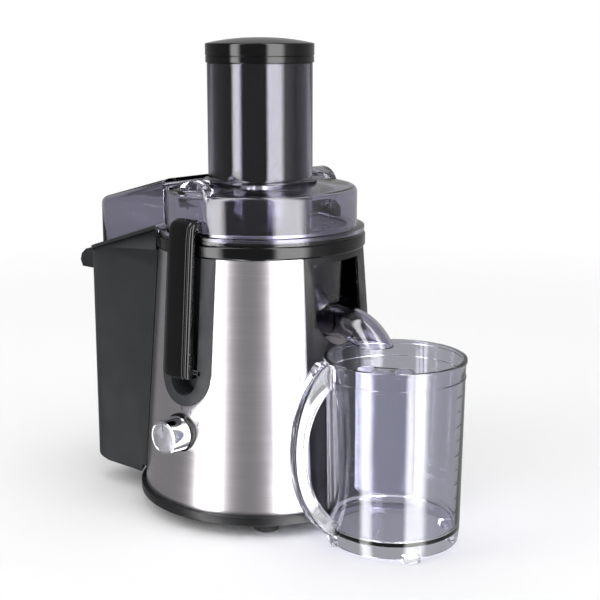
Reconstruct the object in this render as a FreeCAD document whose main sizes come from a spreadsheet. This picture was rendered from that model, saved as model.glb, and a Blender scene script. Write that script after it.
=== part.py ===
"""Centrifugal juicer with a steel-clad motor base, two locking arms, a pulp
container and a juice jug. All sizes are in millimetres.

Frame: the origin is on the motor's axis at table level and +Z points up. The
front locking arm and the speed knob face -Y, the juice spout and the jug lie
on +X and the pulp container lies on -X.
"""
import FreeCAD, Part
import math
import os

import Sketcher
from FreeCAD import Placement, Rotation, Vector

# Driving dimensions: alias, value, what it measures.
SIZES = [
    ("foot_height", 9.5, "rubber feet, table to base"),
    ("foot_radius", 12, "radius of a rubber foot"),
    ("foot_inset", 21.3, "a foot's axis inside the base's edge"),
    ("base_proud", 4.1, "how far the base stands out of the body"),
    ("base_height", 8, "height of the base tray"),
    ("base_ring", 13, "width of the base's rim"),
    ("base_floor", 3, "floor thickness of the base tray"),
    ("shell_height", 212.5, "height of the conical body"),
    ("shell_bottom_radius", 105.2, "body radius at its bottom"),
    ("shell_top_radius", 89.6, "body radius at its top"),
    ("housing_wall", 2.6, "plastic wall behind the steel"),
    ("steel_sheet", 0.8, "thickness of the steel cover"),
    ("steel_start", -24, "angle where the steel ends beside the spout"),
    ("steel_span", 116, "angle that the steel covers"),
    ("collar_height", 11, "height of the top collar"),
    ("collar_proud", 1.8, "how far the top collar stands out of the body"),
    ("surround_half", 28.5, "half width of an arm surround"),
    ("surround_tail", 1.5, "centre of a surround's round end below the arm's pin"),
    ("surround_proud", 0.5, "how far a surround stands out of the steel"),
    ("pocket_half", 15.5, "half width of the pocket behind an arm"),
    ("pocket_wall", 2, "wall of the pocket"),
    ("pocket_depth", 20, "depth of the pocket at the arm's pin"),
    ("pocket_reach", 21, "pocket length below the pin"),
    ("arm_half", 14, "half width of a locking arm"),
    ("arm_proud", 10.7, "how far an arm stands out of the body"),
    ("arm_reach", 113, "arm's pin below the top of the lid's flange"),
    ("arm_pin_inset", 2.6, "pin axis below the body's surface"),
    ("arm_pin_radius", 2.5, "radius of an arm's pin"),
    ("arm_hook_height", 14, "height of the hook above the lid flange"),
    ("arm_tail", 4.5, "arm below its pin's axis"),
    ("bowl_inset", 7.6, "juice bowl's wall inside the top of the body"),
    ("bowl_wall", 2.2, "wall of the clear mouldings"),
    ("bowl_flange", 2.5, "thickness of the bowl's flange"),
    ("bowl_depth", 53, "bowl wall below its flange"),
    ("bowl_hub_radius", 20, "bowl's centre tube"),
    ("sump_inset", 1, "sump inside the bowl's wall"),
    ("sump_radius", 19, "outer radius of the sump"),
    ("spout_radius", 14, "outer radius of the spout"),
    ("spout_drop", 14.5, "spout's axis below the bowl's floor"),
    ("spout_run", 6.4, "start of the spout's bend outside the body's top"),
    ("spout_bend", 40, "bend radius of the spout's axis"),
    ("spout_lip", 15, "spout's mouth below the spout's axis"),
    ("niche_half", 29, "half width of the opening above the spout"),
    ("niche_drop", 19.5, "bottom of that opening below the spout's axis"),
    ("niche_head", 5, "wall left above that opening"),
    ("lid_flange", 3.5, "thickness of the lid's flange"),
    ("lid_proud", 2, "how far the dome stands out of the bowl's wall"),
    ("lid_height", 37.5, "dome edge above the bowl's flange"),
    ("lid_rise", 5, "rise of the dome to the feed tube"),
    ("lid_round", 5, "rounding of the dome's edge"),
    ("tube_radius", 45.2, "outer radius of the feed tube"),
    ("tube_wall", 2.4, "wall of the feed tube"),
    ("tube_height", 100, "height of the feed tube over the dome"),
    ("tube_gap", 9, "gap between the grater and the feed tube"),
    ("tube_ring", 3.8, "width of the ring at the tube's root"),
    ("tube_ring_height", 1.6, "height of that ring over the dome"),
    ("pusher_gap", 2, "gap between pusher and feed tube"),
    ("pusher_wall", 2.5, "wall of the pusher"),
    ("cap_height", 16, "height of the pusher's cap at its edge"),
    ("cap_rise", 5, "crown of the cap"),
    ("cap_proud", 1.4, "how far the cap stands out of the feed tube"),
    ("chute_side", 4, "pulp hood inside the container's side"),
    ("chute_inset", 14, "end of the pulp hood inside the container's end"),
    ("chute_corner", 14, "corner radius of the pulp hood"),
    ("chute_round", 7, "rounding of the hood's roof"),
    ("chute_drop", 24, "fall of the hood's roof over its length"),
    ("pulp_half", 72, "half width of the pulp container"),
    ("pulp_depth", 63.6, "how far the pulp container reaches beyond the collar"),
    ("pulp_corner", 20, "corner radius of the pulp container"),
    ("pulp_wall", 2.2, "wall of the pulp container"),
    ("pulp_rim_fall", 2, "container's rim below the lid's flange"),
    ("pulp_rim_drop", 27, "fall of the rim to the outer end"),
    ("grip_half", 56, "half width of the container's grip"),
    ("grip_reach", 25, "how far the grip stands out"),
    ("grip_height", 22, "height of the grip"),
    ("knob_height", 81, "height of the knob's axis"),
    ("knob_radius", 15, "radius of the knob at its foot"),
    ("knob_length", 18.5, "length of the knob"),
    ("knob_shaft", 3, "radius of the switch shaft"),
    ("deck_gap", 9.5, "gap between the motor deck and the sump"),
    ("deck_wall", 3, "thickness of the deck"),
    ("shaft_radius", 5, "radius of the motor shaft"),
    ("armature_radius", 26, "radius of the armature"),
    ("stator_half", 42, "half width of the stator stack"),
    ("mount_height", 19, "height of the rubber mounts over the motor"),
    ("stator_stack", 42, "height of the stator stack"),
    ("running_gap", 0.6, "gap between armature and stator"),
    ("basket_gap", 4, "basket's rim inside the bowl's outer face"),
    ("basket_floor", 42, "radius of the grater disc"),
    ("basket_lift", 17, "basket's floor above the bowl's floor"),
    ("basket_height", 42, "height of the basket"),
    ("basket_sheet", 0.8, "sheet thickness of the filter"),
    ("jug_nest", 8.3, "how far the jug stands into the base's rim"),
    ("jug_y", -10, "jug axis to the front"),
    ("jug_gap", 2, "gap between the jug's rim and the spout's mouth"),
    ("jug_top_radius", 57, "outer radius of the jug at its rim"),
    ("jug_bottom_radius", 55, "outer radius of the jug at its floor"),
    ("jug_wall", 2.2, "wall of the jug"),
    ("jug_foot", 4.5, "height of the jug's feet"),
    ("jug_skirt", 9.5, "height of the skirt under the jug's floor"),
    ("handle_half", 8, "half width of the jug's handle"),
    ("handle_reach", 92, "outer edge of the handle from the jug axis"),
    ("handle_depth", 12.5, "thickness of the handle"),
    ("separator_half", 23, "half width of the froth separator"),
    ("separator_drop", 100, "length of the froth separator"),
    ("fit", 0.2, "gap between fixed parts that fit together"),
    ("slide_gap", 0.5, "gap between parts that slide or swing"),
]

FRONT = 0
BACK = 180
PLAIN = Rotation()
ALONG_Y = Rotation(Vector(1, 0, 0), 90)
ALONG_X = Rotation(Vector(0, 1, 0), 90)

doc = FreeCAD.newDocument("CentrifugalJuicer")
sheet = doc.addObject("Spreadsheet::Sheet", "Sizes")
for row, (alias, number, meaning) in enumerate(SIZES, start=1):
    sheet.set(f"A{row}", alias)
    sheet.set(f"B{row}", str(number))
    sheet.setAlias(f"B{row}", alias)
    sheet.set(f"C{row}", meaning)
doc.recompute()


class Dim:
    """A length or angle: its value and the sheet expression that drives it."""

    def __init__(self, value, text):
        self.value = float(value)
        self.text = text

    def __add__(self, other):
        other = dim(other)
        return Dim(self.value + other.value, f"({self.text} + {other.text})")

    def __sub__(self, other):
        other = dim(other)
        return Dim(self.value - other.value, f"({self.text} - {other.text})")

    def __mul__(self, other):
        other = dim(other)
        return Dim(self.value * other.value, f"({self.text} * {other.text})")

    def __truediv__(self, other):
        other = dim(other)
        return Dim(self.value / other.value, f"({self.text} / {other.text})")

    def __neg__(self):
        return Dim(-self.value, f"(0 - {self.text})")

    def __radd__(self, other):
        return dim(other) + self

    def __rsub__(self, other):
        return dim(other) - self

    def __rmul__(self, other):
        return dim(other) * self


def dim(number):
    """A plain number as a Dim, or the Dim itself."""
    if isinstance(number, Dim):
        return number
    return Dim(number, f"({float(number)})")


def bound(size):
    """True where a size follows the sheet."""
    return "Sizes." in size.text


class Sizes:
    """Each driving dimension as an attribute."""


s = Sizes()
for alias, number, meaning in SIZES:
    setattr(s, alias, Dim(float(sheet.get(alias)), f"Sizes.{alias}"))

PIECES = {}


def piece(node, thing):
    """Names a finished sub-part, which is written to parts/NODE.step."""
    thing.Label = node
    PIECES[node] = thing
    return thing


def drive(thing, prop, size):
    """Sets a property and binds it to the sheet."""
    size = dim(size)
    setattr(thing, prop, size.value)
    if bound(size):
        thing.setExpression(prop, size.text)


def place(thing, at=(0, 0, 0), turn=PLAIN):
    """Gives an object its Placement, with each bound coordinate on the sheet."""
    at = [dim(value) for value in at]
    thing.Placement = Placement(Vector(*[value.value for value in at]), turn)
    for axis, value in zip("xyz", at):
        if bound(value):
            thing.setExpression(f"Placement.Base.{axis}", value.text)
    return thing


def about_z(degrees):
    """A turn about the vertical axis."""
    return Rotation(Vector(0, 0, 1), float(degrees))


# ---------------------------------------------------------------- primitives
def box(x0, x1, y0, y1, z0, z1, turn=PLAIN):
    """A box between its low and high corners."""
    thing = doc.addObject("Part::Box", "Block")
    drive(thing, "Length", dim(x1) - x0)
    drive(thing, "Width", dim(y1) - y0)
    drive(thing, "Height", dim(z1) - z0)
    return place(thing, (x0, y0, z0), turn)


def cylinder(radius, height, at=(0, 0, 0), turn=PLAIN, angle=None):
    """A cylinder standing on the point at, or a sector of one."""
    thing = doc.addObject("Part::Cylinder", "Round")
    drive(thing, "Radius", radius)
    drive(thing, "Height", height)
    if angle is not None:
        drive(thing, "Angle", angle)
    return place(thing, at, turn)


def cone(low_radius, high_radius, height, z):
    """A truncated cone on the motor's axis."""
    thing = doc.addObject("Part::Cone", "Taper")
    drive(thing, "Radius1", low_radius)
    drive(thing, "Radius2", high_radius)
    drive(thing, "Height", height)
    return place(thing, (0, 0, z))


def cut(base, *tools):
    """The base without the tools."""
    for tool in tools:
        result = doc.addObject("Part::Cut", "Cut")
        result.Base = base
        result.Tool = tool
        base = result
    return base


def fuse(*shapes):
    """Several shapes as one."""
    result = doc.addObject("Part::MultiFuse", "Union")
    result.Shapes = list(shapes)
    return result


def common(*shapes):
    """What several shapes share."""
    result = doc.addObject("Part::MultiCommon", "Shared")
    result.Shapes = list(shapes)
    return result


def group(*shapes):
    """Separate solids in one node."""
    result = doc.addObject("Part::Compound", "Group")
    result.Links = list(shapes)
    return result


def turned(thing, degrees):
    """The same object turned about the motor's axis, as a Placement."""
    if degrees:
        thing.Placement = Placement(Vector(), about_z(degrees))
    return thing


def feature(shape):
    """An object for a shape that needs Part's own functions."""
    thing = doc.addObject("Part::Feature", "Moulding")
    thing.Shape = shape
    return thing


# ---------------------------------------------------------- sketched features
def origin(body, role):
    """One of a body's own origin planes or axes."""
    for item in body.Origin.OriginFeatures:
        if item.Role == role:
            return item
    raise ValueError(role)


def new_body(node):
    """An empty PartDesign body for a node."""
    body = doc.addObject("PartDesign::Body", "Body")
    return piece(node, body)


def pin_point(sketch, index, axis, size):
    """Fixes one coordinate of an edge's first point, on the sheet where bound."""
    size = dim(size)
    if abs(size.value) < 1e-9:
        line = -2 if axis == "X" else -1
        sketch.addConstraint(Sketcher.Constraint("PointOnObject", index, 1, line))
        return
    number = sketch.addConstraint(
        Sketcher.Constraint(f"Distance{axis}", -1, 1, index, 1, size.value))
    if bound(size):
        name = f"{axis.lower()}_{index}"
        sketch.renameConstraint(number, name)
        sketch.setExpression(f"Constraints.{name}", size.text)


def outline(body, plane, points, shift=0):
    """A closed polygon, every corner bound to its sizes."""
    sketch = body.newObject("Sketcher::SketchObject", "Outline")
    sketch.AttachmentSupport = [(origin(body, plane), "")]
    sketch.MapMode = "FlatFace"
    shift = dim(shift)
    sketch.AttachmentOffset = Placement(Vector(0, 0, shift.value), PLAIN)
    if bound(shift):
        sketch.setExpression("AttachmentOffset.Base.z", shift.text)
    corners = [Vector(dim(x).value, dim(y).value, 0) for x, y in points]
    count = len(corners)
    for index in range(count):
        edge = Part.LineSegment(corners[index], corners[(index + 1) % count])
        sketch.addGeometry(edge)
    for index in range(count):
        after = (index + 1) % count
        sketch.addConstraint(Sketcher.Constraint("Coincident", index, 2, after, 1))
    for index, (x, y) in enumerate(points):
        pin_point(sketch, index, "X", x)
        pin_point(sketch, index, "Y", y)
    return sketch


def circles(body, plane, rounds, shift=0):
    """A sketch of circles, each (x, y, radius)."""
    sketch = body.newObject("Sketcher::SketchObject", "Circles")
    sketch.AttachmentSupport = [(origin(body, plane), "")]
    sketch.MapMode = "FlatFace"
    shift = dim(shift)
    sketch.AttachmentOffset = Placement(Vector(0, 0, shift.value), PLAIN)
    if bound(shift):
        sketch.setExpression("AttachmentOffset.Base.z", shift.text)
    for index, (x, y, radius) in enumerate(rounds):
        x, y, radius = dim(x), dim(y), dim(radius)
        circle = Part.Circle(Vector(x.value, y.value, 0), Vector(0, 0, 1), radius.value)
        sketch.addGeometry(circle)
        number = sketch.addConstraint(Sketcher.Constraint("Radius", index, radius.value))
        if bound(radius):
            sketch.renameConstraint(number, f"radius_{index}")
            sketch.setExpression(f"Constraints.radius_{index}", radius.text)
        for axis, size in (("X", x), ("Y", y)):
            if abs(size.value) < 1e-9:
                line = -2 if axis == "X" else -1
                fixed = Sketcher.Constraint("PointOnObject", index, 3, line)
                sketch.addConstraint(fixed)
                continue
            fixed = Sketcher.Constraint(f"Distance{axis}", -1, 1, index, 3, size.value)
            number = sketch.addConstraint(fixed)
            if bound(size):
                name = f"{axis.lower()}_{index}"
                sketch.renameConstraint(number, name)
                sketch.setExpression(f"Constraints.{name}", size.text)
    return sketch


def revolve(body, points):
    """Turns a half section, (radius, height) points, about the vertical axis."""
    sketch = outline(body, "XZ_Plane", points)
    solid = body.newObject("PartDesign::Revolution", "Revolution")
    solid.Profile = sketch
    solid.ReferenceAxis = (origin(body, "Z_Axis"), [""])
    solid.Angle = 360
    return solid


def pad(body, sketch, length):
    """Raises a sketch along its plane's normal."""
    solid = body.newObject("PartDesign::Pad", "Pad")
    solid.Profile = sketch
    drive(solid, "Length", length)
    return solid


def pocket(body, sketch, length, through=False):
    """Cuts a sketch against its plane's normal, or both ways right through."""
    hole = body.newObject("PartDesign::Pocket", "Pocket")
    hole.Profile = sketch
    if through:
        hole.Type = "ThroughAll"
        hole.Midplane = True
    else:
        drive(hole, "Length", length)
    return hole


def repeat(body, made, count):
    """Repeats a feature round the vertical axis."""
    pattern = body.newObject("PartDesign::PolarPattern", "Pattern")
    pattern.Originals = [made]
    pattern.Axis = (origin(body, "Z_Axis"), [""])
    pattern.Angle = 360
    pattern.Occurrences = count
    body.Tip = pattern
    return pattern


def round_off(body, base, radius, chosen):
    """Fillets the edges of a feature that the test picks out."""
    doc.recompute()
    names = []
    for number, edge in enumerate(base.Shape.Edges, start=1):
        if chosen(edge):
            names.append(f"Edge{number}")
    fillet = body.newObject("PartDesign::Fillet", "Fillet")
    fillet.Base = (base, names)
    drive(fillet, "Radius", radius)
    body.Tip = fillet
    return fillet


def ring_at(radius, height):
    """A test for the circular edge of this radius at this height."""
    def chosen(edge):
        curve = edge.Curve
        if not isinstance(curve, Part.Circle):
            return False
        near = abs(curve.Radius - dim(radius).value) < 0.01
        return near and abs(curve.Center.z - dim(height).value) < 0.01
    return chosen


# ------------------------------------------------- main heights and radii
base_z = s.foot_height
shell_z = base_z + s.base_height
collar_z = shell_z + s.shell_height
bowl_z = collar_z + s.collar_height
lid_z = bowl_z + s.bowl_flange
hook_z = lid_z + s.lid_flange
dome_z = lid_z + s.lid_height
crown_z = dome_z + s.lid_rise
tube_top = crown_z + s.tube_height
bowl_floor = bowl_z - s.bowl_depth
basket_bottom = bowl_floor + s.basket_lift
tube_bottom = basket_bottom + s.tube_gap
spout_height = bowl_floor - s.spout_drop
spout_mouth = spout_height - s.spout_lip
sump_floor = spout_height - s.spout_radius
niche_bottom = spout_height - s.niche_drop
niche_top = collar_z - s.niche_head
deck_height = sump_floor - s.deck_gap
jug_rim = spout_mouth - s.jug_gap
arm_pin_height = hook_z - s.arm_reach
surround_centre = arm_pin_height - s.surround_tail

base_radius = s.shell_bottom_radius + s.base_proud
foot_circle = base_radius - s.foot_inset
collar_radius = s.shell_top_radius + s.collar_proud
bowl_radius = s.shell_top_radius - s.bowl_inset
basket_radius = bowl_radius - s.basket_gap
lid_radius = bowl_radius + s.lid_proud
ring_radius = s.tube_radius + s.tube_ring
cap_radius = s.tube_radius + s.cap_proud
sump_x = bowl_radius - s.sump_radius - s.sump_inset
spout_bend_x = s.shell_top_radius + s.spout_run
pulp_reach = collar_radius + s.pulp_depth
chute_reach = pulp_reach - s.chute_inset
chute_half = s.pulp_half - s.chute_side


def body_radius(z):
    """Radius of the conical body at a height."""
    fall = s.shell_bottom_radius - s.shell_top_radius
    return s.shell_bottom_radius - fall * (dim(z) - shell_z) / s.shell_height


def body_cone(inset):
    """The conical body made smaller by inset, over its whole height."""
    low = s.shell_bottom_radius - inset
    high = s.shell_top_radius - inset
    return cone(low, high, s.shell_height, shell_z)


def round_slab(half, centre, top, near, far, degrees=FRONT):
    """A slab with a round lower end, cut through the body from near to far."""
    block = box(-half, half, -far, -near, centre, top)
    end = cylinder(half, far - near, (0, -near, centre), ALONG_Y)
    return turned(fuse(block, end), degrees)


OUTSIDE = 130
pin_y = body_radius(arm_pin_height) - s.arm_pin_inset
pocket_back = pin_y + s.arm_pin_inset - s.pocket_depth
pocket_centre = arm_pin_height - s.pocket_reach + s.pocket_half
pocket_top = arm_pin_height + 30
channel_back = bowl_radius + 1
tray_half = s.pocket_half + s.pocket_wall


# ------------------------------------------------------------ base and shell
SCREW_ANGLES = (20, 110, 200, 290)
FOOT_ANGLES = (45, 135, 225, 315)
screw_circle = s.shell_bottom_radius - 8.7
screw_radius = 2
jug_x = base_radius + s.jug_bottom_radius - s.jug_nest
nest_radius = s.jug_bottom_radius + 2.5
nest_height = 100


def on_circle(radius, degrees):
    """x and y of a point on a circle about the axis."""
    angle = math.radians(degrees)
    return radius * math.cos(angle), radius * math.sin(angle)


def base_tray():
    """The tray that closes the body below, with vents and screw posts."""
    inner = base_radius - s.base_ring
    floor = base_z + s.base_floor
    body = new_body("base_tray")
    revolve(body, [(0, base_z), (base_radius - 1, base_z), (base_radius, base_z + 1),
                   (base_radius, shell_z), (inner, shell_z), (inner, floor), (0, floor)])
    slot = outline(body, "XY_Plane", [(30, -2.5), (66, -2.5), (66, 2.5), (30, 2.5)])
    repeat(body, pocket(body, slot, 0, through=True), 12)
    posts = [(*on_circle(screw_circle, angle), 6.4) for angle in SCREW_ANGLES]
    pad(body, circles(body, "XY_Plane", posts, base_z), s.base_height)
    heads = [(*on_circle(screw_circle, angle), 4.2) for angle in SCREW_ANGLES]
    pocket_from_below(body, heads, base_z, s.base_floor)
    holes = [(*on_circle(screw_circle, angle), screw_radius + 0.1) for angle in SCREW_ANGLES]
    pocket(body, circles(body, "XY_Plane", holes), 0, through=True)
    nest = circles(body, "XY_Plane", [(jug_x, s.jug_y, nest_radius)])
    body.Tip = pocket(body, nest, 0, through=True)


def pocket_from_below(body, rounds, z, depth):
    """Blind round pockets that open downwards."""
    hole = body.newObject("PartDesign::Pocket", "Pocket")
    hole.Profile = circles(body, "XY_Plane", rounds, z)
    hole.Reversed = True
    drive(hole, "Length", depth)
    return hole


def feet():
    """Four rubber feet."""
    for number, angle in enumerate(FOOT_ANGLES, start=1):
        body = new_body(f"rubber_foot_{number}")
        low = s.foot_radius - 1.2
        revolve(body, [(0, 0), (low - 1, 0), (low, 1), (s.foot_radius, s.foot_height),
                       (0, s.foot_height)])
        place(body, (*on_circle(foot_circle, angle), 0))


def base_screws():
    """The four screws that hold the tray, as one group."""
    screws = []
    for angle in SCREW_ANGLES:
        x, y = on_circle(screw_circle, angle)
        head = cylinder(3.8, s.base_floor, (x, y, base_z))
        shank = cylinder(screw_radius, 22, (x, y, base_z + s.base_floor))
        screws.append(fuse(head, shank))
    piece("base_screws", group(*screws))


def steel_sector(low_inset, high_inset, spare):
    """A layer of the body's wall over the angle that the steel covers."""
    layer = cut(body_cone(low_inset), body_cone(high_inset))
    reach = cylinder(OUTSIDE, s.shell_height + 20, (0, 0, shell_z - 10),
                     about_z(0), s.steel_span + 2 * spare)
    start = s.steel_start - s.steel_span - spare
    reach.Placement = Placement(reach.Placement.Base, about_z(start.value))
    reach.setExpression("Placement.Rotation.Angle", start.text)
    return common(layer, reach)


VENTS = 5
VENT_PITCH = 8
inlet_height = 36
inlet_radius = 8


def housing():
    """The black plastic housing behind the steel and round the back."""
    shell = cut(body_cone(0), body_cone(s.housing_wall))
    posts = []
    holes = []
    for angle in SCREW_ANGLES:
        x, y = on_circle(screw_circle, angle)
        posts.append(cylinder(6.4, 22, (x, y, shell_z)))
        holes.append(cylinder(screw_radius + 0.1, 18, (x, y, shell_z)))
    nest = cylinder(nest_radius, nest_height, (jug_x, s.jug_y, shell_z - 1))
    lining = cylinder(nest_radius + s.housing_wall, nest_height - 1, (jug_x, s.jug_y, shell_z))
    shell = fuse(shell, common(fuse(*posts, lining), body_cone(1)))
    openings = [nest, steel_sector(-2, s.steel_sheet + 0.1, 0.2)]
    for degrees in (FRONT, BACK):
        half = s.surround_half + s.fit
        openings.append(round_slab(half, surround_centre, collar_z + 1, 60, OUTSIDE, degrees))
    openings.append(round_slab(s.niche_half, niche_bottom + s.niche_half, niche_top,
                               60, OUTSIDE, 90))
    openings.append(cylinder(s.knob_shaft + 1, 60, (0, -80, s.knob_height), ALONG_Y))
    openings.append(cylinder(inlet_radius + s.fit, 60, (0, OUTSIDE, inlet_height), ALONG_Y))
    for number in range(VENTS):
        low = 56 + number * VENT_PITCH
        openings.append(box(-24, 24, 80, OUTSIDE, low, low + 3.5))
    piece("motor_housing", cut(shell, *holes, *openings))


def steel_cover():
    """The brushed steel sheet on the front of the body."""
    sheet_metal = steel_sector(0, s.steel_sheet, 0)
    half = s.surround_half + s.fit
    gap = round_slab(half, surround_centre, collar_z + 1, 60, OUTSIDE)
    hole = cylinder(s.knob_shaft + 1, 60, (0, -80, s.knob_height), ALONG_Y)
    piece("steel_cover", cut(sheet_metal, gap, hole))


def collar():
    """The glossy ring at the top of the body, which carries the bowl."""
    inner = bowl_radius + 1.5
    body = new_body("top_collar")
    lip = collar_radius - 1.5
    ring = revolve(body, [(inner, collar_z), (lip, collar_z), (collar_radius, collar_z + 1.5),
                          (collar_radius, bowl_z), (inner, bowl_z)])
    round_off(body, ring, 1.5, ring_at(collar_radius, bowl_z))


def cord_inlet():
    """The bush in the back where the mains lead enters."""
    wall = body_radius(inlet_height)
    sleeve = cylinder(inlet_radius, 8, (0, wall + 1, inlet_height), ALONG_Y)
    flange = cylinder(inlet_radius + 2.5, 2.4, (0, wall + 3, inlet_height), ALONG_Y)
    hole = cylinder(3.6, 20, (0, wall + 6, inlet_height), ALONG_Y)
    clear = cut(flange, body_cone(0))
    piece("cord_inlet", cut(fuse(sleeve, clear), hole))


# ------------------------------------------------------------- locking arms
def surround(node, degrees):
    """The matt plate round an arm, with the pocket that holds its pin."""
    layer = cut(body_cone(-s.surround_proud), body_cone(s.housing_wall))
    plate = common(layer, round_slab(s.surround_half, surround_centre, collar_z, 60, OUTSIDE))
    deep = round_slab(tray_half, pocket_centre, pocket_top, pocket_back, OUTSIDE)
    high = box(-tray_half, tray_half, -OUTSIDE, -channel_back,
               pocket_top - s.pocket_wall, collar_z)
    tray = common(fuse(deep, high), body_cone(0.5))
    low_hole = round_slab(s.pocket_half, pocket_centre, pocket_top - s.pocket_wall,
                          pocket_back + s.pocket_wall, OUTSIDE)
    high_hole = box(-s.pocket_half, s.pocket_half, -OUTSIDE,
                    -(channel_back + s.pocket_wall), pocket_centre, collar_z + 1)
    pin_hole = cylinder(s.arm_pin_radius + 0.05, 2 * tray_half + 2,
                        (-tray_half - 1, -pin_y, arm_pin_height), ALONG_X)
    piece(node, turned(cut(fuse(plate, tray), low_hole, high_hole, pin_hole), degrees))


def arm_pin(node, degrees):
    """The steel pin of an arm."""
    at = (-tray_half, -pin_y, arm_pin_height)
    pin = cylinder(s.arm_pin_radius, 2 * tray_half, at, ALONG_X)
    piece(node, turned(group(pin), degrees))


def locking_arm(node, degrees):
    """A locking arm: a bar up the body whose hook closes over the lid."""
    tail_z = arm_pin_height - s.arm_tail
    top_z = hook_z + s.arm_hook_height
    under_z = hook_z + 0.3
    step_z = collar_z - 2
    knee_z = arm_pin_height + 16
    boss = pin_y - 7
    tip = lid_radius + 1.5
    inner = collar_radius + 0.6
    low_face = body_radius(tail_z) + s.arm_proud
    high_face = body_radius(top_z) + s.arm_proud
    body = new_body(node)
    side = outline(body, "YZ_Plane", [
        (-low_face, tail_z), (-high_face, top_z), (-tip, top_z), (-tip, under_z),
        (-inner, under_z), (-inner, step_z), (-(body_radius(knee_z) - 0.5), knee_z),
        (-boss, arm_pin_height + 8), (-boss, tail_z)])
    bar = body.newObject("PartDesign::Pad", "Bar")
    bar.Profile = side
    bar.Midplane = True
    drive(bar, "Length", 2 * s.arm_half)

    def crest(edge):
        box_ = edge.BoundBox
        level = box_.ZLength < 0.01 and box_.YLength < 0.01
        return level and abs(box_.ZMin - top_z.value) < 0.01 and box_.YMin < -tip.value - 4

    def face_edges(edge):
        box_ = edge.BoundBox
        upright = box_.XLength < 0.01 and box_.ZLength > 60
        return upright and abs(box_.YMin + low_face.value) < 0.1

    def tip_edge(edge):
        box_ = edge.BoundBox
        level = box_.ZLength < 0.01 and box_.YLength < 0.01
        return level and abs(box_.ZMin - top_z.value) < 0.01 and box_.YMin > -tip.value - 1

    rounded = round_off(body, bar, 9, crest)
    rounded = round_off(body, rounded, 3, face_edges)
    round_off(body, rounded, 3, tip_edge)
    hole = body.newObject("PartDesign::Pocket", "PinHole")
    hole.Profile = circles(body, "YZ_Plane", [(-pin_y, arm_pin_height,
                                               s.arm_pin_radius + 0.1)])
    hole.Type = "ThroughAll"
    hole.Midplane = True
    body.Tip = hole
    turned(body, degrees)


def arm_switch():
    """The safety switch behind the front arm's pocket."""
    near = pocket_back - s.fit
    case = box(-8, 8, -near, -(near - 14), arm_pin_height - 16, arm_pin_height + 8)
    piece("interlock_switch", case)


# ------------------------------------------------------------ speed control
knob_foot = body_radius(s.knob_height - s.knob_radius - 1.5) + 0.8
knob_back = knob_foot + s.slide_gap
knob_bore = 12
switch_front = body_radius(s.knob_height + 14) - s.housing_wall - 1.4
switch_depth = 18


def speed_control():
    """The knob, its ring, the switch and the shaft that joins them."""
    ring = cylinder(s.knob_radius + 1.5, 12, (0, -(knob_foot - 12), s.knob_height), ALONG_Y)
    hole = cylinder(s.knob_shaft + 1, 60, (0, -80, s.knob_height), ALONG_Y)
    piece("knob_ring", cut(ring, body_cone(-0.05), hole))

    body = new_body("speed_knob")
    face = s.knob_length
    revolve(body, [(s.knob_shaft, 0), (s.knob_radius, 0), (s.knob_radius - 0.6, face - 1),
                   (s.knob_radius - 1.6, face), (0, face), (0, knob_bore),
                   (s.knob_shaft, knob_bore)])
    mark = outline(body, "XY_Plane", [(-0.7, 8), (0.7, 8), (0.7, 13), (-0.7, 13)], face)
    body.Tip = pocket(body, mark, 0.6)
    place(body, (0, -knob_back, s.knob_height), ALONG_Y)

    start = switch_front - switch_depth + 2
    length = knob_back + knob_bore - start
    shaft = cylinder(s.knob_shaft, length, (0, -start, s.knob_height), ALONG_Y)
    piece("switch_shaft", shaft)

    case = box(-14, 14, -switch_front, -(switch_front - switch_depth),
               s.knob_height - 14, s.knob_height + 14)
    bore = cylinder(s.knob_shaft + 0.06, 40, (0, -start, s.knob_height), ALONG_Y)
    piece("rotary_switch", cut(case, bore))


def electronics():
    """The circuit board on its four spacers, and its capacitor."""
    floor = base_z + s.base_floor
    spacers = []
    for x in (-78, -34):
        for y in (-26, 26):
            spacers.append(cylinder(3, 6, (x, y, floor)))
    board = box(-84, -28, -32, 32, floor + 6, floor + 7.6)
    piece("circuit_board", fuse(board, *spacers))
    piece("capacitor", cylinder(8, 18, (-62, 12, floor + 7.6)))


# -------------------------------------------------------------------- motor
coil_height = 8
bolt_place = s.stator_half - 6
bracket_radius = s.stator_half + 16
bracket_wall = 3
upper_bracket_z = deck_height - s.mount_height - bracket_wall
stator_top = upper_bracket_z - coil_height - 2
stator_bottom = stator_top - s.stator_stack
lower_bracket_z = stator_bottom - 20
bearing_radius = 11
DAMPERS = 3
commutator_z = lower_bracket_z + bracket_wall + 1
coupling_z = basket_bottom - 15


def stator():
    """The laminated stack and its two coil ends."""
    half = s.stator_half
    stack = box(-half, half, -half, half, stator_bottom, stator_top)
    bore = cylinder(s.armature_radius + s.running_gap, 100, (0, 0, stator_bottom - 20))
    bolts = []
    for x in (-bolt_place, bolt_place):
        for y in (-bolt_place, bolt_place):
            bolts.append(cylinder(2.2, 100, (x, y, stator_bottom - 20)))
    corners = cylinder(half * 1.28, s.stator_stack, (0, 0, stator_bottom))
    piece("motor_stator", cut(common(stack, corners), bore, *bolts))
    rings = []
    for z in (stator_bottom - coil_height, stator_top):
        outer = cylinder(38, coil_height, (0, 0, z))
        inner = cylinder(s.armature_radius + 3, coil_height, (0, 0, z))
        rings.append(cut(outer, inner))
    piece("field_coils", group(*rings))


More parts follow.
